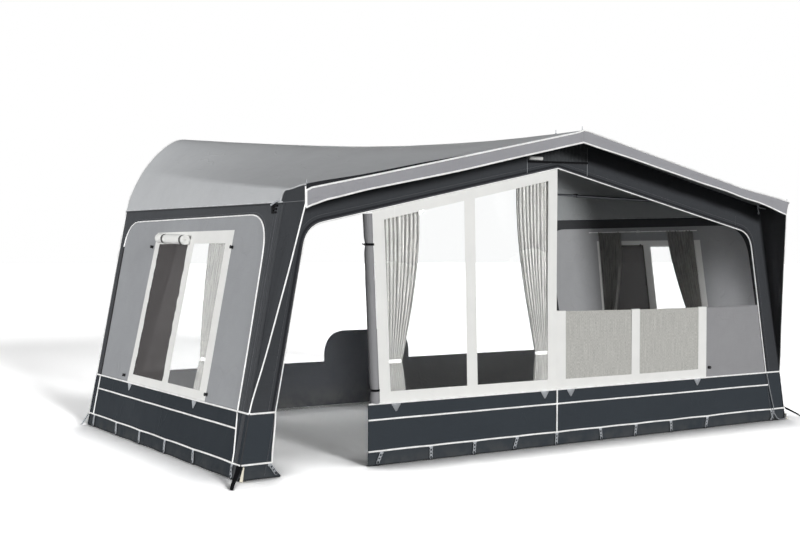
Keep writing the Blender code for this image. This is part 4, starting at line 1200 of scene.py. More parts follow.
def buildCurtain(name, wall, edge, way, top, face, seed):
    # edge(z) is its outer side, and top(a) the height of its head
    s, tie = curtainSizes, curtainSizes["tie"]
    levels = [(False, t) for t in spread(1, 0, 8)] + [(True, t) for t in spread(0, 1, 34)[1:]]
    rows = []
    for upper, share in levels:
        width = way * lerp(s["tieWidth"], s["width" if upper else "footWidth"], math.sin(share * math.pi / 2))
        fold = lerp(s["tieFold"], s["topFold"] if upper else s["tieFold"] * 0.8, share)
        row = []
        for u in spread(0, 1, s["pleats"] * 10):
            z = lerp(tie, top(edge(tie) + width * u) if upper else s["foot"], share)
            drift = 0.10 * swell(u * 3, z * 0.7, 0.8, seed) * (1 - ease((share - 0.6) / 0.4) if upper else 1)
            phase = 2 * math.pi * s["pleats"] * (u + drift * u * (1 - u))
            deep = fold * (0.75 + 0.5 * swell(u * 5, z * 0.5, 0.7, seed + 2))
            x = edge(z) + width * u + width * 0.012 * math.sin(2 * phase)
            row.append(onWall(wall, x, z, face - 0.0015 - deep * (1 - math.cos(phase)) / 2))
        rows.append(row)
    end = "_" + wall if wall != "front" else ""
    gridCloth(
        "curtain_" + name, rows, lambda _: -wallNormal(wall), "curtain", thick=0.0006, held="gathered",
        rests=("curtain_rod" + end if end else "front_frame_sheet",), replaces=(nodeOf(name),),
    )
    # its tie, a soft band with both ends on the wall
    rows = []
    half, back, band = s["tieWidth"] / 2 + 0.004, face - 0.012, s["bandHeight"]
    middle = edge(tie) + way * s["tieWidth"] / 2
    for z in spread(tie - band / 2, tie + band / 2, 3):
        tight = half * (1 - 0.06 * abs(z - tie) / band)
        turns = spread(0, 2 * math.pi, 28)
        rows.append([onWall(wall, middle + tight * math.cos(a), z, back + 0.0135 * math.sin(a)) for a in turns])
    centre = onWall(wall, middle, tie, back)
    gridCloth(
        "curtain_%s_tie" % name, rows, lambda p: p - centre, "white", held="folded", rests=("curtain_" + name,)
    )


def nodeOf(name):
    # the part's own node of a curtain: front_left is front_curtain_left there
    first, *others = name.split("_")
    return "_".join([first, "curtain", *others])


def buildCurtains():
    s, margin = curtainSizes, curtainSizes["margin"]
    inner = frontPanes()[1]
    near, far = sidePanes()

    def frontTop(x):
        return archZ(x) - s["frontDrop"]

    def leftEdge(z):
        return frontEdge(z) + frontSizes["strip"] - margin

    def rearEdge(z):
        share = (z - far[3][1]) / (far[2][1] - far[3][1])
        return lerp(far[3][0], far[2][0], share) + margin

    def sideTop(_):
        return sideSizes["windowTop"] + s["rise"]

    buildCurtain("front_left", "front", leftEdge, 1, frontTop, s["frontFace"], 51)
    buildCurtain("front_right", "front", lambda z: inner[3][0] + margin, -1, frontTop, s["frontFace"], 52)
    for end, _ in sides:
        buildCurtain("side_front_" + end, end, lambda z: near[0][0] - margin, 1, sideTop, s["sideFace"], 53)
        buildCurtain("side_rear_" + end, end, rearEdge, -1, sideTop, s["sideFace"], 54)


buildCurtains()

print("stage: piping, seams, zips and ladders")


def growTree(name, inputs):
    inputs = {"Geometry": "Geometry", **inputs, "Finish": "Material"}
    return newGroup(name, "GeometryNodeTree", inputs, ("Geometry",))


def endTree(tree, given, made, geometry):
    whole = shapeOf(tree, "RealizeInstances", {0: geometry})
    smooth = shapeOf(tree, "SetShadeSmooth", {0: whole})
    wires = {"Geometry": smooth, "Material": given["Finish"]}
    wire(tree, made, {0: shapeOf(tree, "SetMaterial", wires)})
    return tree


def pipingTree():
    # a round cord along every line of the carrier
    tree, given, made = growTree("piping", {"Radius": 0.005, "Sides": 8})
    line = shapeOf(tree, "MeshToCurve", {0: given["Geometry"]})
    wires = {"Resolution": given["Sides"], "Radius": given["Radius"]}
    ring = shapeOf(tree, "CurvePrimitiveCircle", wires, mode="RADIUS")
    wires = {"Curve": line, "Profile Curve": ring, "Fill Caps": True}
    return endTree(tree, given, made, shapeOf(tree, "CurveToMesh", wires))


def beadTree():
    # rounded beads at even steps along every line: stitches, or the coil of a zip
    tree, given, made = growTree("beadRow", {"Step": 0.008, "Length": 0.005, "Width": 0.0015})
    line = shapeOf(tree, "MeshToCurve", {0: given["Geometry"]})
    wires = {"Curve": line, "Length": given["Step"]}
    spots = addNode(tree, "GeometryNodeCurveToPoints", wires, mode="LENGTH").outputs
    bead = shapeOf(tree, "MeshIcoSphere", {"Radius": 0.5, "Subdivisions": 1})
    wires = enumerate((given["Width"], given["Width"], given["Length"]))
    size = solve(tree, "ShaderNodeCombineXYZ", wires)
    wires = {"Points": spots["Points"], "Instance": bead, "Rotation": spots["Rotation"], "Scale": size}
    return endTree(tree, given, made, shapeOf(tree, "InstanceOnPoints", wires))


def placeTree():
    # one copy of a small piece at every point of the carrier, turned by the point's own "turn"
    tree, given, made = growTree("placed", {"Piece": "Object"})
    wires = {0: given["Piece"]}
    piece = addNode(tree, "GeometryNodeObjectInfo", wires, transform_space="ORIGINAL").outputs["Geometry"]
    wires = {"Name": "turn"}
    turn = addNode(tree, "GeometryNodeInputNamedAttribute", wires, data_type="FLOAT_VECTOR").outputs["Attribute"]
    rotation = solve(tree, "FunctionNodeEulerToRotation", {0: turn})
    wires = {"Points": given["Geometry"], "Instance": piece, "Rotation": rotation}
    return endTree(tree, given, made, shapeOf(tree, "InstanceOnPoints", wires))


trees = {"cords": pipingTree(), "beads": beadTree(), "placed": placeTree()}


def grow(name, data, kind, made, slot, **values):
    # runs a tree on a carrier mesh and keeps the result as a plain mesh
    carrier = bpy.data.objects.new(name + "_carrier", data)
    sceneRoot.objects.link(carrier)
    modifier = carrier.modifiers.new("grow", "NODES")
    modifier.node_group = trees[kind]
    values["Finish"] = finish[made]
    for item in trees[kind].interface.items_tree:
        if item.item_type == "SOCKET" and item.in_out == "INPUT" and item.name in values:
            modifier[item.identifier] = values[item.name]
    bpy.context.view_layer.update()
    mesh = bpy.data.meshes.new_from_object(carrier.evaluated_get(bpy.context.evaluated_depsgraph_get()))
    bpy.data.objects.remove(carrier)
    mesh.name = name
    obj = bpy.data.objects.new(name, mesh)
    sceneRoot.objects.link(obj)
    keep(obj, slot or slots[made])


def lineMesh(name, lines):
    points, edges = [], []
    for line in lines:
        edges += [(len(points) + i, len(points) + i + 1) for i in range(len(line) - 1)]
        points += [tuple(point) for point in line]
    data = bpy.data.meshes.new(name + "_lines")
    data.from_pydata(points, edges, [])
    return data


def growCords(name, lines, radius, made, slot=None, around=8):
    grow(name, lineMesh(name, lines), "cords", made, slot, Radius=radius, Sides=around)


def growBeads(name, lines, step, length, width, made):
    grow(name, lineMesh(name, lines), "beads", made, None, Step=step, Length=length, Width=width)


def placeAll(name, piece, spots, made):
    data = bpy.data.meshes.new(name + "_spots")
    data.from_pydata([tuple(place) for place, _ in spots], [], [])
    turn = data.attributes.new("turn", "FLOAT_VECTOR", "POINT")
    for i, (_, matrix) in enumerate(spots):
        turn.data[i].vector = matrix.to_euler()
    grow(name, data, "placed", made, None, Piece=piece)
    bpy.data.objects.remove(piece)


def wallLine(wall, line, out=0.002, pitch=0.03):
    return [onWall(wall, a, z, out) for a, z in divided(line, pitch)]


ladderSizes = {
    "loops": 3,
    "loop": 0.0108,
    "thick": 0.0030,
    "front": (  # the x and tilt of each
        (-1.587, 0.42), (-1.17, 0.02), (-0.783, 0.10), (-0.386, 0.34), (0.0, 0.08),
        (0.451, -0.10), (0.837, 0.16), (1.228, -0.05), (1.663, 0.22), (2.479, -0.12),
    ),
    "side": ((2.295, 0.30), (1.772, 0.26), (1.262, 0.20), (0.745, 0.28), (0.108, 0.16), (2.84, 0.10)),
}
trimSizes = {
    "mudLines": (0.101, 0.319, 0.428),
    "mudPiping": 0.0068,
    "archPiping": 0.0050,
    "bandPiping": 0.0066,
    "proud": 0.0005,  # how far every piping stands off its cloth
    "foot": ((0.150, 0.35), (0.130, 0.25), (0.115, 0.17)),  # the front piping from the side arch to the ground
    "rearFoot": 2.875,
    "middleStart": 0.145,
    "middleEnd": 0.12,
    "cornerDark": (2.7, 1.53),  # the piping at the rear foot is dark behind and below this
    "hem": (0.005, 0.0038),  # below the eave, and out of the wall
    # a dark cord of painted shadow under the hem; below the eave, and out of the wall
    "shade": (0.015, 0.0025),
    "capFoot": 1.80,
    "stepShadeEnd": -0.55,
    "seams": ((0.048, 1.76), (0.128, 1.76), (2.93, 1.80)),  # depth and top of each seam on a side wall
    "zip": (0.088, 1.77),
    "flap": (0.068, 1.785),
    "zipFoot": 0.02,
    "archSeam": (0.02, 0.018),
    "frontSeam": 0.050,
    "frontTape": 0.020,
    "zipOffset": 0.011,
    "pucker": 0.007,
    "puckerCentre": (2.80, 1.68),
    "puckerReach": 0.25,
}


def puckered(line, seed=61):
    # a seam that is drawn in unevenly round a corner
    s, centre = trimSizes, trimSizes["puckerCentre"]
    made = []
    for a, z in divided(line, 0.012):
        near = math.exp(-(math.hypot(a - centre[0], z - centre[1]) / s["puckerReach"]) ** 2) + 0.06
        pull = s["pucker"] * near
        made.append((a + pull * swell(a, z, 0.022, seed), z + pull * swell(a, z, 0.022, seed + 1)))
    return made


def hemLine(wall, start, end, z, out):
    # a line of piping that hangs in shallow scallops between the ladders
    pegs = ladderSizes["front" if wall == "front" else "side"]
    pegs = sorted([start, end] + [at for at, _ in pegs if start < at < end])
    made = []
    for near, far in zip(pegs, pegs[1:]):
        for t in spread(0, 1, max(4, int((far - near) / 0.03)))[:-1]:
            lift = 0.006 * (far - near) * 4 * t * (1 - t) * (1 if z < 0.2 else 0.35)
            made.append(onWall(wall, lerp(near, far, t), z - 0.001 + lift, out))
    return made + [onWall(wall, end, z - 0.001, out)]


def buildPiping():
    s, mud, rear = trimSizes, room["mud"], room["rear"]
    low, middle, top = s["mudLines"]
    proud, thinProud = s["mudPiping"] + s["proud"], s["archPiping"] + s["proud"]
    darkFrom, darkTop = s["cornerDark"]
    left, tip = -frontSizes["mudEdge"], 0.002 - room["canopy"]
    thick, thin, bands, dark, hems, shades, corners, caps = ([] for _ in range(8))
    for end, side in sides:
        arch = puckered(sideArch())
        thin.append([onWall(end, a, z, thinProud) for a, z in arch if a < darkFrom or z > darkTop - 0.01])
        dark.append([onWall(end, a, z, thinProud) for a, z in arch if a >= darkFrom and z <= darkTop])
        thick.append(wallLine(end, [(0.0, top), (rear, top)], proud))
        thick.append(hemLine(end, s["middleStart"], rear - s["middleEnd"], middle, proud))
        thick.append(hemLine(end, 0.0, rear, low, proud))
        thin.append(wallLine(end, [(sideSizes["front"], top), *s["foot"], (0.112, low)], thinProud))
        thin.append(wallLine(end, [(sideSizes["back"], top), (s["rearFoot"], low)], thinProud))
        edge = divided([(0.0, mud), (tip, room["shoulder"] - room["band"]), (tip, room["shoulder"] - 0.012)], 0.03)
        thin.append([wingPoint(end, a, z, 0.002) for a, z in edge])
        eave = [onRoof(0, depth) for depth in spread(0.034, rear - 0.02, 50)]
        # the hem along the eave, and under it a dark cord of painted shadow
        for lines, (drop, out) in ((hems, s["hem"]), (shades, s["shade"])):
            lines.append([onWall(end, p.y - room["frontY"], p.z - drop, out) for p in eave])
        hems.append([wingPoint(end, a, z, 0.004) for a, z in divided(capLine(), 0.03)[:-4]])
        caps.append([wingPoint(end, a, s["capFoot"], 0.003) for a in spread(0.060, tip, 10)])
        heights = spread(0.002, room["shoulder"] - 0.01, 24)
        corners.append([Vector((side * (wallX(z) - 0.0015), room["frontY"] + 0.0015, z)) for z in heights])
    thick.append(hemLine("front", left, zipX(middle), middle, proud))
    thick.append(hemLine("front", left, wallX(low) - 0.002, low, proud))
    for line in (
        [(left, top), (wallX(top) - 0.002, top)],
        *([(-wallX(z) + 0.002, z), (cornerEdge(z), z)] for z in (low, top)),
        [(0, low), (0, mud)],
        [(cornerEdge(z), z) for z in spread(mud, low, 8)],
    ):
        thick.append(wallLine("front", line, proud))
    thin.append(wallLine("front", archLine(), thinProud))
    for x in spread(-shoulderX, shoulderX, 120):
        drop = lerp(*bandSizes["pipingDrop"], ease((x + 0.06) / 0.12))
        bands.append((bandPoint(x, 0, 0.004) - Vector((0, 0, drop)), bandPoint(x, 1, 0.004)))
    thin.append([bandPoint(-shoulderX, share, 0.004) for share in (1, 0.75, 0.5, 0.25, 0.08)])
    # a dark sheet of painted shade fills the step above the band's piping and sinks behind it towards the ridge
    tape = []
    for x in spread(-shoulderX, s["stepShadeEnd"], 60):
        high = roofLift(x, -room["canopy"]) + 0.004 - 0.014 * ease((x + 1.5) / 0.9)
        spot = bandPoint(x, 0, 0.0015)
        tape.append([Vector((spot.x, spot.y, gableZ(x) + lerp(high, -0.013, share))) for share in (0, 0.5, 1)])
    tape = list(zip(*tape))
    gridCloth("band_tape", tape, lambda _: wallNormal("front"), "zipTape", thick=0.0007, rests=("canopy_band",))
    for name, lines, radius, made, *slot in (
        ("roof_hem", hems, 0.0054, "hem"), ("roof_edge_cord", shades, 0.0052, "darkCord"),
        ("corner_cords", corners, 0.0050, "darkCord"), ("cap_seams", caps, 0.0030, "capSeam"),
        ("mud_piping", thick, s["mudPiping"], "piping"), ("panel_piping", thin, s["archPiping"], "piping"),
        ("band_piping", zip(*bands), s["bandPiping"], "piping"),
        ("dark_piping", dark, s["archPiping"], "plastic", "bead_plastic"),
    ):
        growCords(name, lines, radius, made, *slot)


def beside(line, distance):
    # a line moved to its left, as seen along it
    made = []
    for i, (x, z) in enumerate(line):
        way = Vector(line[min(i + 1, len(line) - 1)]) - Vector(line[max(i - 1, 0)])
        way.normalize()
        made.append((x - way.y * distance, z + way.x * distance))
    return made


def stripCloth(name, wall, path, width, outer, out=0.002):
    # a tape sewn on a wall along a path
    line, rows = divided(path, 0.03), []
    for share, lift in ((-0.5, 0), (0, 0.0012), (0.5, 0)):
        rows.append([onWall(wall, a, z, out + lift) for a, z in beside(line, width * share)])
    gridCloth(name, rows, lambda _: wallNormal(wall), outer, thick=0.0007, rests=("side_border_sheet_left",))


def buildSeams():
    s, mud, ridge, zipFoot = trimSizes, room["mud"], room["ridge"], trimSizes["zipFoot"]
    seams, zips = [], []
    for end, _ in sides:
        for depth, top in s["seams"]:
            seams.append(wallLine(end, [(depth, zipFoot), (depth, top)], 0.0012))
        depth, top = s["zip"]
        zips.append(wallLine(end, [(depth, zipFoot), (depth, top)], 0.0022, 0.02))
        depth, top = s["flap"]
        stripCloth("side_zip_flap_" + end, end, [(depth, 0.015), (depth, top)], 0.03, "sideCharcoal")
        across, above = s["archSeam"]
        arch = []
        for a, z in divided(sideArch(), 0.03):
            away = math.copysign(across, a - 1.5) * (1 if z < 1.5 else 0.7)
            arch.append(onWall(end, a + away, z + above * ease((z - 1.4) / 0.3), 0.001))
        seams.append(arch)
    stripCloth("front_zip_tape", "front", beside(archLine(), s["frontTape"]), 0.020, "zipTape", 0.0012)
    seams.append(wallLine("front", beside(archLine(), s["frontSeam"]), 0.0015))
    zips.append(wallLine("front", beside(archLine(), s["zipOffset"]), 0.0015, 0.02))
    for side in (-1, 1):
        zips.append(wallLine("front", [(side * zipX(zipFoot), zipFoot), (side * zipX(mud), mud)], 0.003, 0.02))
    y = room["frontY"] - room["canopy"] - 0.0065
    seams.append([Vector((0, y, z)) for z in spread(ridge - 0.084, ridge - 0.016, 4)])
    x, half = ventSizes["seamX"], ventSizes["half"]
    seams.append(wallLine("front", [(x, archZ(x) + 0.02), (x, archZ(x) + 0.105)], 0.001))
    uprights = [wallLine("front", [(x, archZ(x) + 0.02), (x, gableZ(x) - 0.03)]) for x in (-half, half)]
    growCords("header_cords", uprights, 0.0026, "greyCord")
    growBeads("grey_stitches", seams, 0.008, 0.0058, 0.0022, "stitch")
    growBeads("zip_coils", zips, 0.0032, 0.0022, 0.0064, "zipTeeth")


def boxInto(mesh, centre, size, bevel=0.0):
    made = bmesh.ops.create_cube(mesh, size=1.0)["verts"]
    bmesh.ops.scale(mesh, vec=size, verts=made)
    bmesh.ops.translate(mesh, vec=centre, verts=made)
    if bevel:
        edges = list(dict.fromkeys(edge for vert in made for edge in vert.link_edges))
        bmesh.ops.bevel(mesh, geom=edges, offset=bevel, segments=1, affect="EDGES")


def ringInto(mesh, centre, radius, thick, around=10, tall=1.0):
    x, y, z = centre
    loops = []
    for a in (i * 2 * math.pi / around for i in range(around)):
        loop = []
        for b in (j * 2 * math.pi / 6 for j in range(6)):
            reach = radius + thick * math.cos(b)
            spot = (x + reach * math.cos(a), y + thick * math.sin(b), z + reach * math.sin(a) * tall)
            loop.append(mesh.verts.new(spot))
        loops.append(loop)
    for before, loop in zip(loops[-1:] + loops, loops):
        for j, vert in enumerate(loop):
            mesh.faces.new((vert, before[j], before[j - 1], loop[j - 1]))


def smallPiece(name, mesh):
    bmesh.ops.recalc_face_normals(mesh, faces=mesh.faces)
    return newObject(name, mesh, linked=False)


def ladderOne():
    s = ladderSizes
    mesh = bmesh.new()
    # the loops come before the boxes, because a bevel leaves gaps that later faces fill in no fixed order
    for i in range(s["loops"]):
        ringInto(mesh, (0, -0.003, -0.026 - i * 0.0235), s["loop"], s["thick"], 12, 1.5)
    boxInto(mesh, (0, -0.001, -0.004), (0.032, 0.0024, 0.014), 0.0006)
    boxInto(mesh, (0, -0.0015, -0.013), (0.018, 0.0026, 0.010), 0.0006)
    return smallPiece("ladder_one", mesh)


def pegOne():
    # the bent wire peg that holds a ladder's last loop
    mesh = bmesh.new()
    ringInto(mesh, (0, -0.006, -0.079), 0.0075, 0.0021)
    boxInto(mesh, (0, -0.010, -0.088), (0.0050, 0.0050, 0.012), 0.0012)
    return smallPiece("peg_one", mesh)


def spotsOn(wall, places, out, sign=1):
    # (place, turn) of small pieces on a wall, from (depth or x, height, roll)
    return [(onWall(wall, a, z, out), wallTurn(wall, sign * roll)) for a, z, roll in places]


def buildLadders():
    height, out = 0.094, 0.007
    spots = spotsOn("front", [(x, height, tilt) for x, tilt in ladderSizes["front"] + ((-2.452, -0.62),)], out)
    for end, side in sides:
        spots += spotsOn(end, [(depth, height, tilt) for depth, tilt in ladderSizes["side"]], out, side)
    placeAll("ladders", ladderOne(), spots, "rubber")
    placeAll("ground_pegs", pegOne(), spots, "zinc")


ventSizes = {
    "half": 0.30,
    "bar": 2.158,
    "barRise": 0.014,
    "barHeight": 0.014,
    "net": 2.355,
    "coverLeft": -0.29,
    "coverRight": -0.165,
    "seamX": 2.0,
}
smallSizes = {
    "toggleSide": ((2.212, 1.516), (0.690, 1.508), (2.321, 0.476), (0.690, 0.483)),
    "toggleFront": ((1.685, 0.511),),
    "tabSide": (2.166, 0.878),
    "tabFront": (-1.466, -0.118, 0.143, 1.546),
    "tab": (0.038, 0.053, 0.0018),
}


def knobOne():
    # a turn button: a round base and a rounded bar
    mesh = bmesh.new()
    for radius, back, deep in ((0.0135, 0.0, 0.004), (0.0095, 0.004, 0.010), (0.0125, 0.014, 0.006)):
        matrix = Matrix.Translation((0, -back - deep / 2, 0)) @ Matrix.Rotation(math.pi / 2, 4, "X")
        coneInto(mesh, matrix, radius, radius, deep, 16)
    edges = [edge for edge in mesh.edges if edge.calc_face_angle(0) > 1]
    bmesh.ops.bevel(mesh, geom=edges, offset=0.0009, segments=1, affect="EDGES")
    return smallPiece("knob_one", mesh)


def tabOne():
    mesh = bmesh.new()
    half, drop, thick = smallSizes["tab"]
    right = [(0.005, -drop), (half * 0.86, -0.012), (half, -0.004), (half, 0.004)]
    shape = [(-x, z) for x, z in right[::-1]] + right
    layers = [[mesh.verts.new((x, y, z)) for x, z in shape] for y in (0, -thick)]
    mesh.faces.new(layers[0])
    mesh.faces.new(layers[1][::-1])
    for i in range(len(shape)):
        mesh.faces.new((layers[0][i - 1], layers[0][i], layers[1][i], layers[1][i - 1]))
    return smallPiece("tab_one", mesh)


def buildSmall():
    s, tabHeight = smallSizes, room["mud"] - 0.008
    for name, piece, places, made, out in (
        ("turn_buttons", knobOne(), "toggle", "plastic", 0.001), ("foot_tabs", tabOne(), "tab", "rubber", 0.0030)
    ):
        spots = []
        for wall in ("left", "right", "front"):
            on = s[places + ("Front" if wall == "front" else "Side")]
            on = [place if places == "toggle" else (place, tabHeight) for place in on]
            spots += spotsOn(wall, [(*place, 0) for place in on], out)
        placeAll(name, piece, spots, made)


def coneInto(mesh, matrix, foot, top, deep, segments):
    bmesh.ops.create_cone(
        mesh, cap_ends=True, segments=segments, radius1=foot, radius2=top, depth=deep, matrix=matrix
    )


def wand(mesh, start, end, radius, tip=None, segments=12):
    # a short round bar from start to end
    start, end = Vector(start), Vector(end)
    way = end - start
    matrix = Matrix.Translation((start + end) / 2) @ way.to_track_quat("Z", "Y").to_matrix().to_4x4()
    coneInto(mesh, matrix, radius, tip or radius, way.length, segments)


def oneMesh(name, mesh, made, slot=None):
    bmesh.ops.recalc_face_normals(mesh, faces=mesh.faces)
    for face in mesh.faces:
        face.smooth = True
    for edge in mesh.edges:
        edge.smooth = edge.calc_face_angle(0) < 0.7
    keep(newObject(name, mesh, (made,)), slot or slots[made])


def ribbon(name, line, across, width, made, thick, taper=1.0):
    # flat webbing along a line of points
    across = Vector(across).normalized() / 2
    reaches = [across * width * lerp(1, taper, i / (len(line) - 1)) for i in range(len(line))]
    rows = [[Vector(point) + reach * share for point, reach in zip(line, reaches)] for share in (-1, 0, 1)]
    gridCloth(name, rows, lambda _: Vector((0, -1, 0.5)), made, thick=thick, rests=("mud_sheet_front",))


cornerSizes = {
    "pin": 0.0028,
    "pinRise": 0.030,
    "pegTop": 0.005,
    "cord": 0.0044,
    "cordOut": 0.012,
    "strapRear": ((2.672, 1.615, 0.092), (2.700, 1.604, 0.058), (2.742, 1.588, 0.008)),
    # x, depth behind the front wall's face, and height
    "strapLeft": (
        (-2.668, -0.006, 0.098), (-2.700, -0.050, 0.072), (-2.750, -0.115, 0.040),
        (-2.798, -0.180, 0.014), (-2.822, -0.225, 0.006), (-2.829, -0.240, 0.016),
    ),
    "strapRight": (
        (2.680, 0.004, 0.098), (2.720, -0.012, 0.078), (2.762, -0.030, 0.056),
        (2.800, -0.048, 0.034), (2.822, -0.058, 0.014),
    ),
    # the right corner's zip has a grey cord that ends in a loop round a peg
    "zipCord": (
        (2.445, 0.302), (2.473, 0.212), (2.502, 0.121), (2.506, 0.076), (2.486, 0.051), (2.453, 0.006),
    ),
    "loop": (
        (2.474, 0.105), (2.506, 0.062), (2.530, 0.022), (2.562, 0.006),
        (2.620, 0.005), (2.662, 0.016), (2.668, 0.050),
    ),
}


def buildPins():
    # the tips of the pole pins that stand up through the roof
    s, ridge, shoulder = cornerSizes, room["ridge"], room["shoulder"]
    mesh = bmesh.new()
    canopy, half = room["frontY"] - room["canopy"] + 0.012, shoulderX - 0.01
    for x, y, z in (
        (0, canopy, ridge), (-half, canopy, shoulder), (half, canopy, shoulder), (0, room["frontY"] + 0.02, ridge)
    ):
        spot = Vector((x, y, z + roofLift(x, -room["canopy"]))) + cornerMove(x, -room["canopy"])
        wand(mesh, spot - Vector((0, 0, 0.004)), spot + Vector((0, 0, s["pinRise"])), s["pin"])
        wand(mesh, spot + Vector((0, 0, 0.0005)), spot + Vector((0, 0, 0.005)), 0.009, 0.006)
    oneMesh("pole_pins", mesh, "rubber", "tube_steel")


def buildCorners():
    # the storm straps, peg feet and elastic cords at the awning's corners
    s, front = cornerSizes, room["frontY"]
    for end, across, width, thick, taper in (
        ("left", (0.77, -0.50, -0.40), 0.034, 0.006, 0.5), ("right", (0.30, -0.20, -0.93), 0.026, 0.004, 0.7)
    ):
        line = [(x, front + y, z) for x, y, z in s["strap" + end.title()]]
        ribbon("storm_strap_" + end, line, across, width, "webbing", thick, taper)
    for end, side in sides:
        line = [(side * x, y, z) for x, y, z in s["strapRear"]]
        ribbon("rear_strap_" + end, line, (0.84 * side, -0.55, 0), 0.022, "rubber", 0.003)
    mesh = bmesh.new()
    wand(mesh, (-2.646, front - 0.026, 0.092), (-2.668, front - 0.034, 0.0), s["pegTop"], 0.0115, 16)
    wand(mesh, (2.664, front - 0.010, 0.050), (2.682, front - 0.014, 0.0), s["pegTop"], 0.0075, 16)
    oneMesh("corner_feet", mesh, "cream")
    mud = room["mud"]
    cords = []
    for path, ahead in (([(zipX(mud), mud), *s["zipCord"]], 0.004), (list(s["loop"]), 0.016)):
        spots = divided(path, 0.012)
        cords.append([onWall("front", x, z, s["cordOut"] + ahead * ease((0.1 - z) / 0.1)) for x, z in spots])
    growCords("corner_elastic", cords, s["cord"], "greyCord", "black_plastic")


def buildVent():
    # the net vent high in the front wall, its rolled cover and its closing bar
    s, reach, bar = ventSizes, ventSizes["half"], ventSizes["bar"]

    def shape(x, z):
        return onWall("front", x, z, 0.004 + 0.0035 * math.sin(x * 2 * math.pi / 0.035 + swell(x, z, 0.2, 71)))

    crest = [(x, min(s["net"], gableZ(x) - 0.02)) for x in (-reach, 0, reach)]
    flatCloth(
        "vent_net", "front", [[(-reach, bar), *crest, (reach, bar)]], "ventNet", pitch=0.008, thick=0.0004,
        shape=shape, held="gathered", rests=("front_border_sheet",),
    )
    stripCloth("vent_bar", "front", [(-reach, bar), (reach, bar + s["barRise"])], s["barHeight"], "webbing", 0.009)
    start = Vector((s["coverLeft"], room["frontY"] - 0.014, bar + 0.028))
    spiralRoll(
        "vent_cover_roll", start, Vector((1, 0, 0)), Vector((0, -1, 0)), s["coverRight"] - s["coverLeft"], 0.18,
        0.017, 0.004, (), 0, "white", slot="panel_cloth", rests=("vent_net",),
    )


clipSizes = {
    "x": 2.172,
    "ahead": 0.10,  # in front of the front wall's face
    "z": 1.910,
    "stormHeight": 1.758,
    "stormPitch": 0.022,
}


def buildBuckles():
    # a clip under the canopy at each wing, and the storm clip on the side walls
    s = clipSizes
    clips, storm, toggles = bmesh.new(), bmesh.new(), bmesh.new()
    y, z, height = room["frontY"] - s["ahead"], s["z"], s["stormHeight"]
    for end, side in sides:
        x = side * s["x"]
        wand(clips, (x - 0.018, y, z), (x + 0.004, y - 0.004, z - 0.082), 0.0040)
        wand(clips, (x - 0.004, y - 0.003, z - 0.004), (x + 0.006, y - 0.003, z - 0.045), 0.0050)
        wand(clips, (x + side * 0.004, y - 0.006, z - 0.042), (x + side * 0.092, y - 0.006, z - 0.052), 0.0050)
        ringInto(clips, (x + 0.003, y - 0.004, z - 0.090), 0.008, 0.0028)
        boxInto(storm, onWall(end, 0.153, height, 0.006), (0.008, 0.030, 0.058), 0.0015)
        for step in (-1, 0, 1):
            boxInto(storm, onWall(end, 0.118, height + step * s["stormPitch"], 0.007), (0.010, 0.052, 0.013), 0.002)
        wand(toggles, onWall(end, 0.165, 1.784, 0.017), onWall(end, 0.085, 1.808, 0.017), 0.0068, 0.0055)
    for name, mesh, made in (
        ("storm_clips", storm, "webbing"), ("canopy_clips", clips, "rubber"), ("storm_toggles", toggles, "rubber")
    ):
        oneMesh(name, mesh, made)


def buildKeder():
    # the white tape that holds the roof's bead, down both sides to the mud walls
    line = [(-1, 11 * i / 44) for i in range(45)] + [(1, 11 * i / 44) for i in range(43, -1, -1)]
    foot = spread(room["mud"], room["eaveRear"] - 0.02, 24)
    centreHeight = 1.3

    def away(point):
        return Vector((point.x, 0, point.z - centreHeight))

    rows = []
    for inset, out in ((-0.020, 0.0016), (-0.010, 0.0026), (0.001, 0.0010)):
        depth = room["rear"] + inset
        row = [onWall("left", depth, z, out) for z in foot]
        for side, s in line:
            point = onRoof(s, depth)
            point += away(point).normalized() * (out + 0.001)
            row.append(Vector((point.x * side, point.y, point.z)))
        rows.append(row + [onWall("right", depth, z, out) for z in foot[::-1]])
    gridCloth("keder_tape", rows, away, "piping", thick=0.0012, rests=("roof_cover",))


def buildStraps():
    # webbing round each roll, and the toggles that close the door roll's straps
    mesh = bmesh.new()
    for number, (middle, along, outward, radius) in enumerate(straps, 1):
        across = along.cross(outward)
        rows = []
        for t in (-0.5, 0, 0.5):
            centre = middle + along * rollSizes["strap"] * t
            row = []
            for angle in spread(0, 2 * math.pi, 30):
                reach = radius + 0.0022 + 0.0006 * math.sin(5 * angle)
                row.append(centre + outward * reach * math.cos(angle) + across * reach * math.sin(angle))
            rows.append(row)
        gridCloth(
            "roll_strap_%d" % number, rows, lambda p, m=middle: p - m, "webbing", thick=0.0014, held="folded",
            rests=("side_blind_roll_left",),
        )
        if along.z > 0.9:
            spot, half = middle + Vector((-radius - 0.010, -0.006, 0)), Vector((0.016, 0, -0.004))
            wand(mesh, spot + half, spot - half, 0.0055, 0.0045)
    oneMesh("strap_toggles", mesh, "plastic")


buildPiping()
buildSeams()
buildLadders()
buildSmall()
buildStraps()
buildPins()
buildCorners()
buildVent()
buildBuckles()
buildKeder()

print("stage: tubes and fittings")


def smoothTree():
    # joins the loose triangles of a turned piece and smooths all but its real edges
    inputs = {"Geometry": "Geometry", "Angle": 0.6}
    tree, given, made = newGroup("softEdges", "GeometryNodeTree", inputs, ("Geometry",))
    wires = {"Geometry": given["Geometry"], "Distance": 0.00002}
    shape = shapeOf(tree, "MergeByDistance", wires)
    wires = {0: shapeOf(tree, "InputMeshEdgeAngle"), 1: given["Angle"]}
    flat = solve(tree, "FunctionNodeCompare", wires, data_type="FLOAT", operation="LESS_EQUAL")
    for domain, smooth in (("FACE", True), ("EDGE", flat)):
        wires = {"Geometry": shape, "Shade Smooth": smooth}
        shape = shapeOf(tree, "SetShadeSmooth", wires, domain=domain)
    wire(tree, made, {0: shape})
    return tree


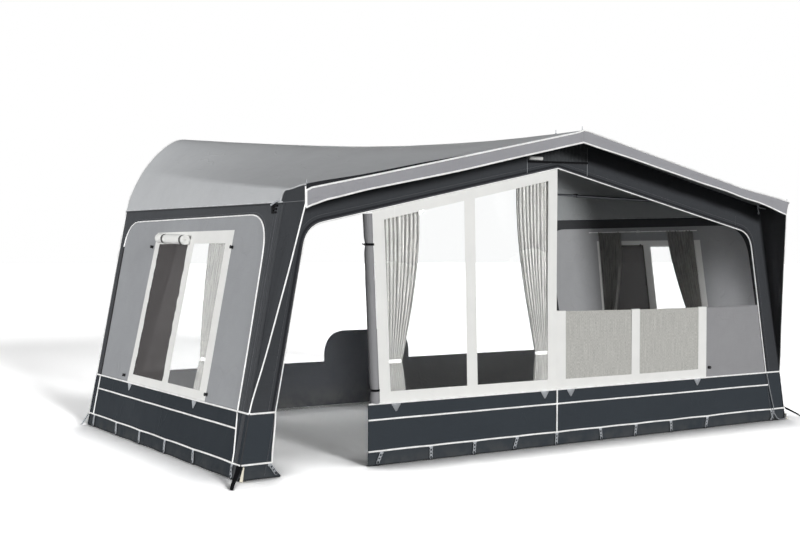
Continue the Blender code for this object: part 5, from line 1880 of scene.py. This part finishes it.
def finishTubes():
    softEdges = smoothTree()
    kinds = {row["node"]: row["material_slot"] for row in frame["record"]["subparts"]}
    plain = {"black_plastic": "plastic", "zip_metal": "zipTeeth", "bead_plastic": "piping"}
    lines = {}
    for end, side in sides + (("centre", 0),):
        up = Vector((-side * lean, 0, 1))
        for row, inset, depth in (("front", 0.075, 0.075), ("rear", 0.060, 2.94)):
            foot = Vector((side * (wallX(0) - inset), room["frontY"] + depth, 0))
            # two points of the post's line, and its radius
            for part in ("upper", "lower"):
                lines["%s_post_%s_%s" % (row, end, part)] = (foot, foot + up, 0.0142)
    for name, obj in nodes.items():
        if obj.hide_render:
            continue
        if kinds[name] in plain:
            made = finish[plain[kinds[name]]]
        else:
            made = tubeFinish("tube_" + name, *lines[name]) if name in lines else finish["zinc"]
        obj.data.materials.clear()
        obj.data.materials.append(made)
        obj.modifiers.new("softEdges", "NODES").node_group = softEdges


finishTubes()

print("stage: curtain rods")
rodSizes = {"radius": 0.005, "out": 0.022, "front": 0.74, "back": 2.20, "knob": 0.014}


def buildRods():
    s = rodSizes
    height = sideSizes["windowTop"] + curtainSizes["rise"] - 0.004
    for end, _ in sides:
        line = wallLine(end, [(s["front"], height), (s["back"], height)], -s["out"], 0.05)
        growCords("curtain_rod_" + end, [line], s["radius"], "piping", around=12)
        mesh = bmesh.new()
        knob, half = line[len(line) // 2], Vector((0, s["knob"], 0))
        wand(mesh, knob - half, knob + half, 0.011, 0.011, 20)
        oneMesh("curtain_rod_knob_" + end, mesh, "piping")


buildRods()

print("stage: floor, light and camera")
light = {
    "horizon": 1.0,
    "falloff": 3.5,  # how fast the sky darkens from the horizon to the zenith
    # each sun's way, strength and spread; the rear one fills the back, the right side and the inside
    "front": ((-0.05, -1.0, 0.19), 2.42, 11),
    "side": ((-1.0, 0.15, 0.055), 2.02, 6),
    "rear": ((0.6, 1.0, 0.12), 1.0, 10),
    "floor": 4.9,  # as the camera sees it, for white where nothing shades it
    "contact": 0.55,  # how far the shade beside the awning's foot reaches
    "contactDepth": 2.2,
    "room": 3.0,  # how far the shade under the roof reaches
    "roomShade": (0.22, 0.52, 0.18, 1.0),
    "inside": 0.45,  # how much painted shade darkens the floor deep inside the awning
    "insideHalf": (2.4, 2.7),  # where that shade fades out at the sides
    "insideFront": 0.8,  # and how far it takes to set in behind the front wall
    "insideBack": 0.3,
    "floorBounce": 0.29,
    "camera": (-5.882, -8.165, 1.462),
    "yaw": 33.15,
    "pitch": -1.245,
    "roll": -0.117,
    "lens": 52.45,
}


def seenDirectly(tree):
    rays = addNode(tree, "ShaderNodeLightPath").outputs
    mirrored = maths(tree, "MAXIMUM", rays["Is Glossy Ray"], rays["Is Transmission Ray"])
    return maths(tree, "MAXIMUM", rays["Is Camera Ray"], mirrored)


def buildStage():
    mesh = bmesh.new()
    bmesh.ops.create_grid(mesh, x_segments=1, y_segments=1, size=150)
    floor = newObject("floor", mesh)
    floor.location.z = -0.0005
    made, tree, shader = newMaterial("pale_floor")
    tree.nodes.remove(shader)
    # painted shade in the floor's colour: ambient occlusion darkens it beside the awning's foot and under its roof,
    # and a painted shade by position darkens it deep inside the awning
    near, wide = (
        addNode(tree, "ShaderNodeAmbientOcclusion", {"Distance": light[reach]}, samples=samples).outputs["AO"]
        for reach, samples in (("contact", 8), ("room", 12))
    )
    seen = times(tree, maths(tree, "POWER", near, light["contactDepth"]), light["floor"])
    seen = times(tree, seen, ranged(tree, wide, *light["roomShade"]))
    spot = partsOf(tree, placeOf(tree))
    across = ranged(tree, maths(tree, "ABSOLUTE", spot[0]), *light["insideHalf"], 1.0, 0.0)
    front, back = room["frontY"], room["frontY"] + room["rear"]
    setIn = ranged(tree, spot[1], front, front + light["insideFront"])
    deep = times(tree, setIn, ranged(tree, spot[1], back - light["insideBack"], back, 1.0, 0.0))
    seen = times(tree, seen, maths(tree, "SUBTRACT", 1.0, times(tree, across, deep, light["inside"])))
    direct = seenDirectly(tree)
    bounce = times(tree, maths(tree, "SUBTRACT", 1.0, direct), light["floorBounce"])
    wires = {"Color": plus(tree, times(tree, direct, seen), bounce)}
    diffuse = solve(tree, "ShaderNodeBsdfDiffuse", wires)
    wire(tree, tree.nodes["Material Output"], {"Surface": diffuse})
    floor.data.materials.append(made)

    world = bpy.data.worlds.new("studio")
    world.use_nodes = True
    bpy.context.scene.world = world
    tree = world.node_tree
    height = ranged(tree, partsOf(tree, placeOf(tree, "Generated"))[2], 0.0, 1.0, 1.0, 0.0)
    level = times(tree, maths(tree, "POWER", height, light["falloff"]), light["horizon"])
    strength = maths(tree, "MAXIMUM", seenDirectly(tree), level)
    wire(tree, tree.nodes["Background"], {"Color": (1, 1, 1, 1), "Strength": strength})


def addSun(name, towards, strength, spreadAngle):
    lamp = bpy.data.lights.new(name, "SUN")
    lamp.energy = strength
    lamp.angle = math.radians(spreadAngle)
    obj = bpy.data.objects.new(name, lamp)
    obj.rotation_euler = Vector(towards).to_track_quat("Z", "Y").to_euler()
    sceneRoot.objects.link(obj)


def buildCamera():
    data = bpy.data.cameras.new("camera")
    data.lens = light["lens"]
    data.sensor_width = 36
    data.clip_end = 500
    camera = bpy.data.objects.new("camera", data)
    sceneRoot.objects.link(camera)
    turn = Matrix.Translation(light["camera"])
    for angle, axis in ((-light["yaw"], "Z"), (90 + light["pitch"], "X"), (-light["roll"], "Z")):
        turn = turn @ Matrix.Rotation(math.radians(angle), 4, axis)
    camera.matrix_world = turn
    bpy.context.scene.camera = camera


buildStage()
for name in ("front", "side", "rear"):
    addSun(name + "_light", *light[name])
buildCamera()
bpy.context.scene.view_settings.view_transform = "Standard"
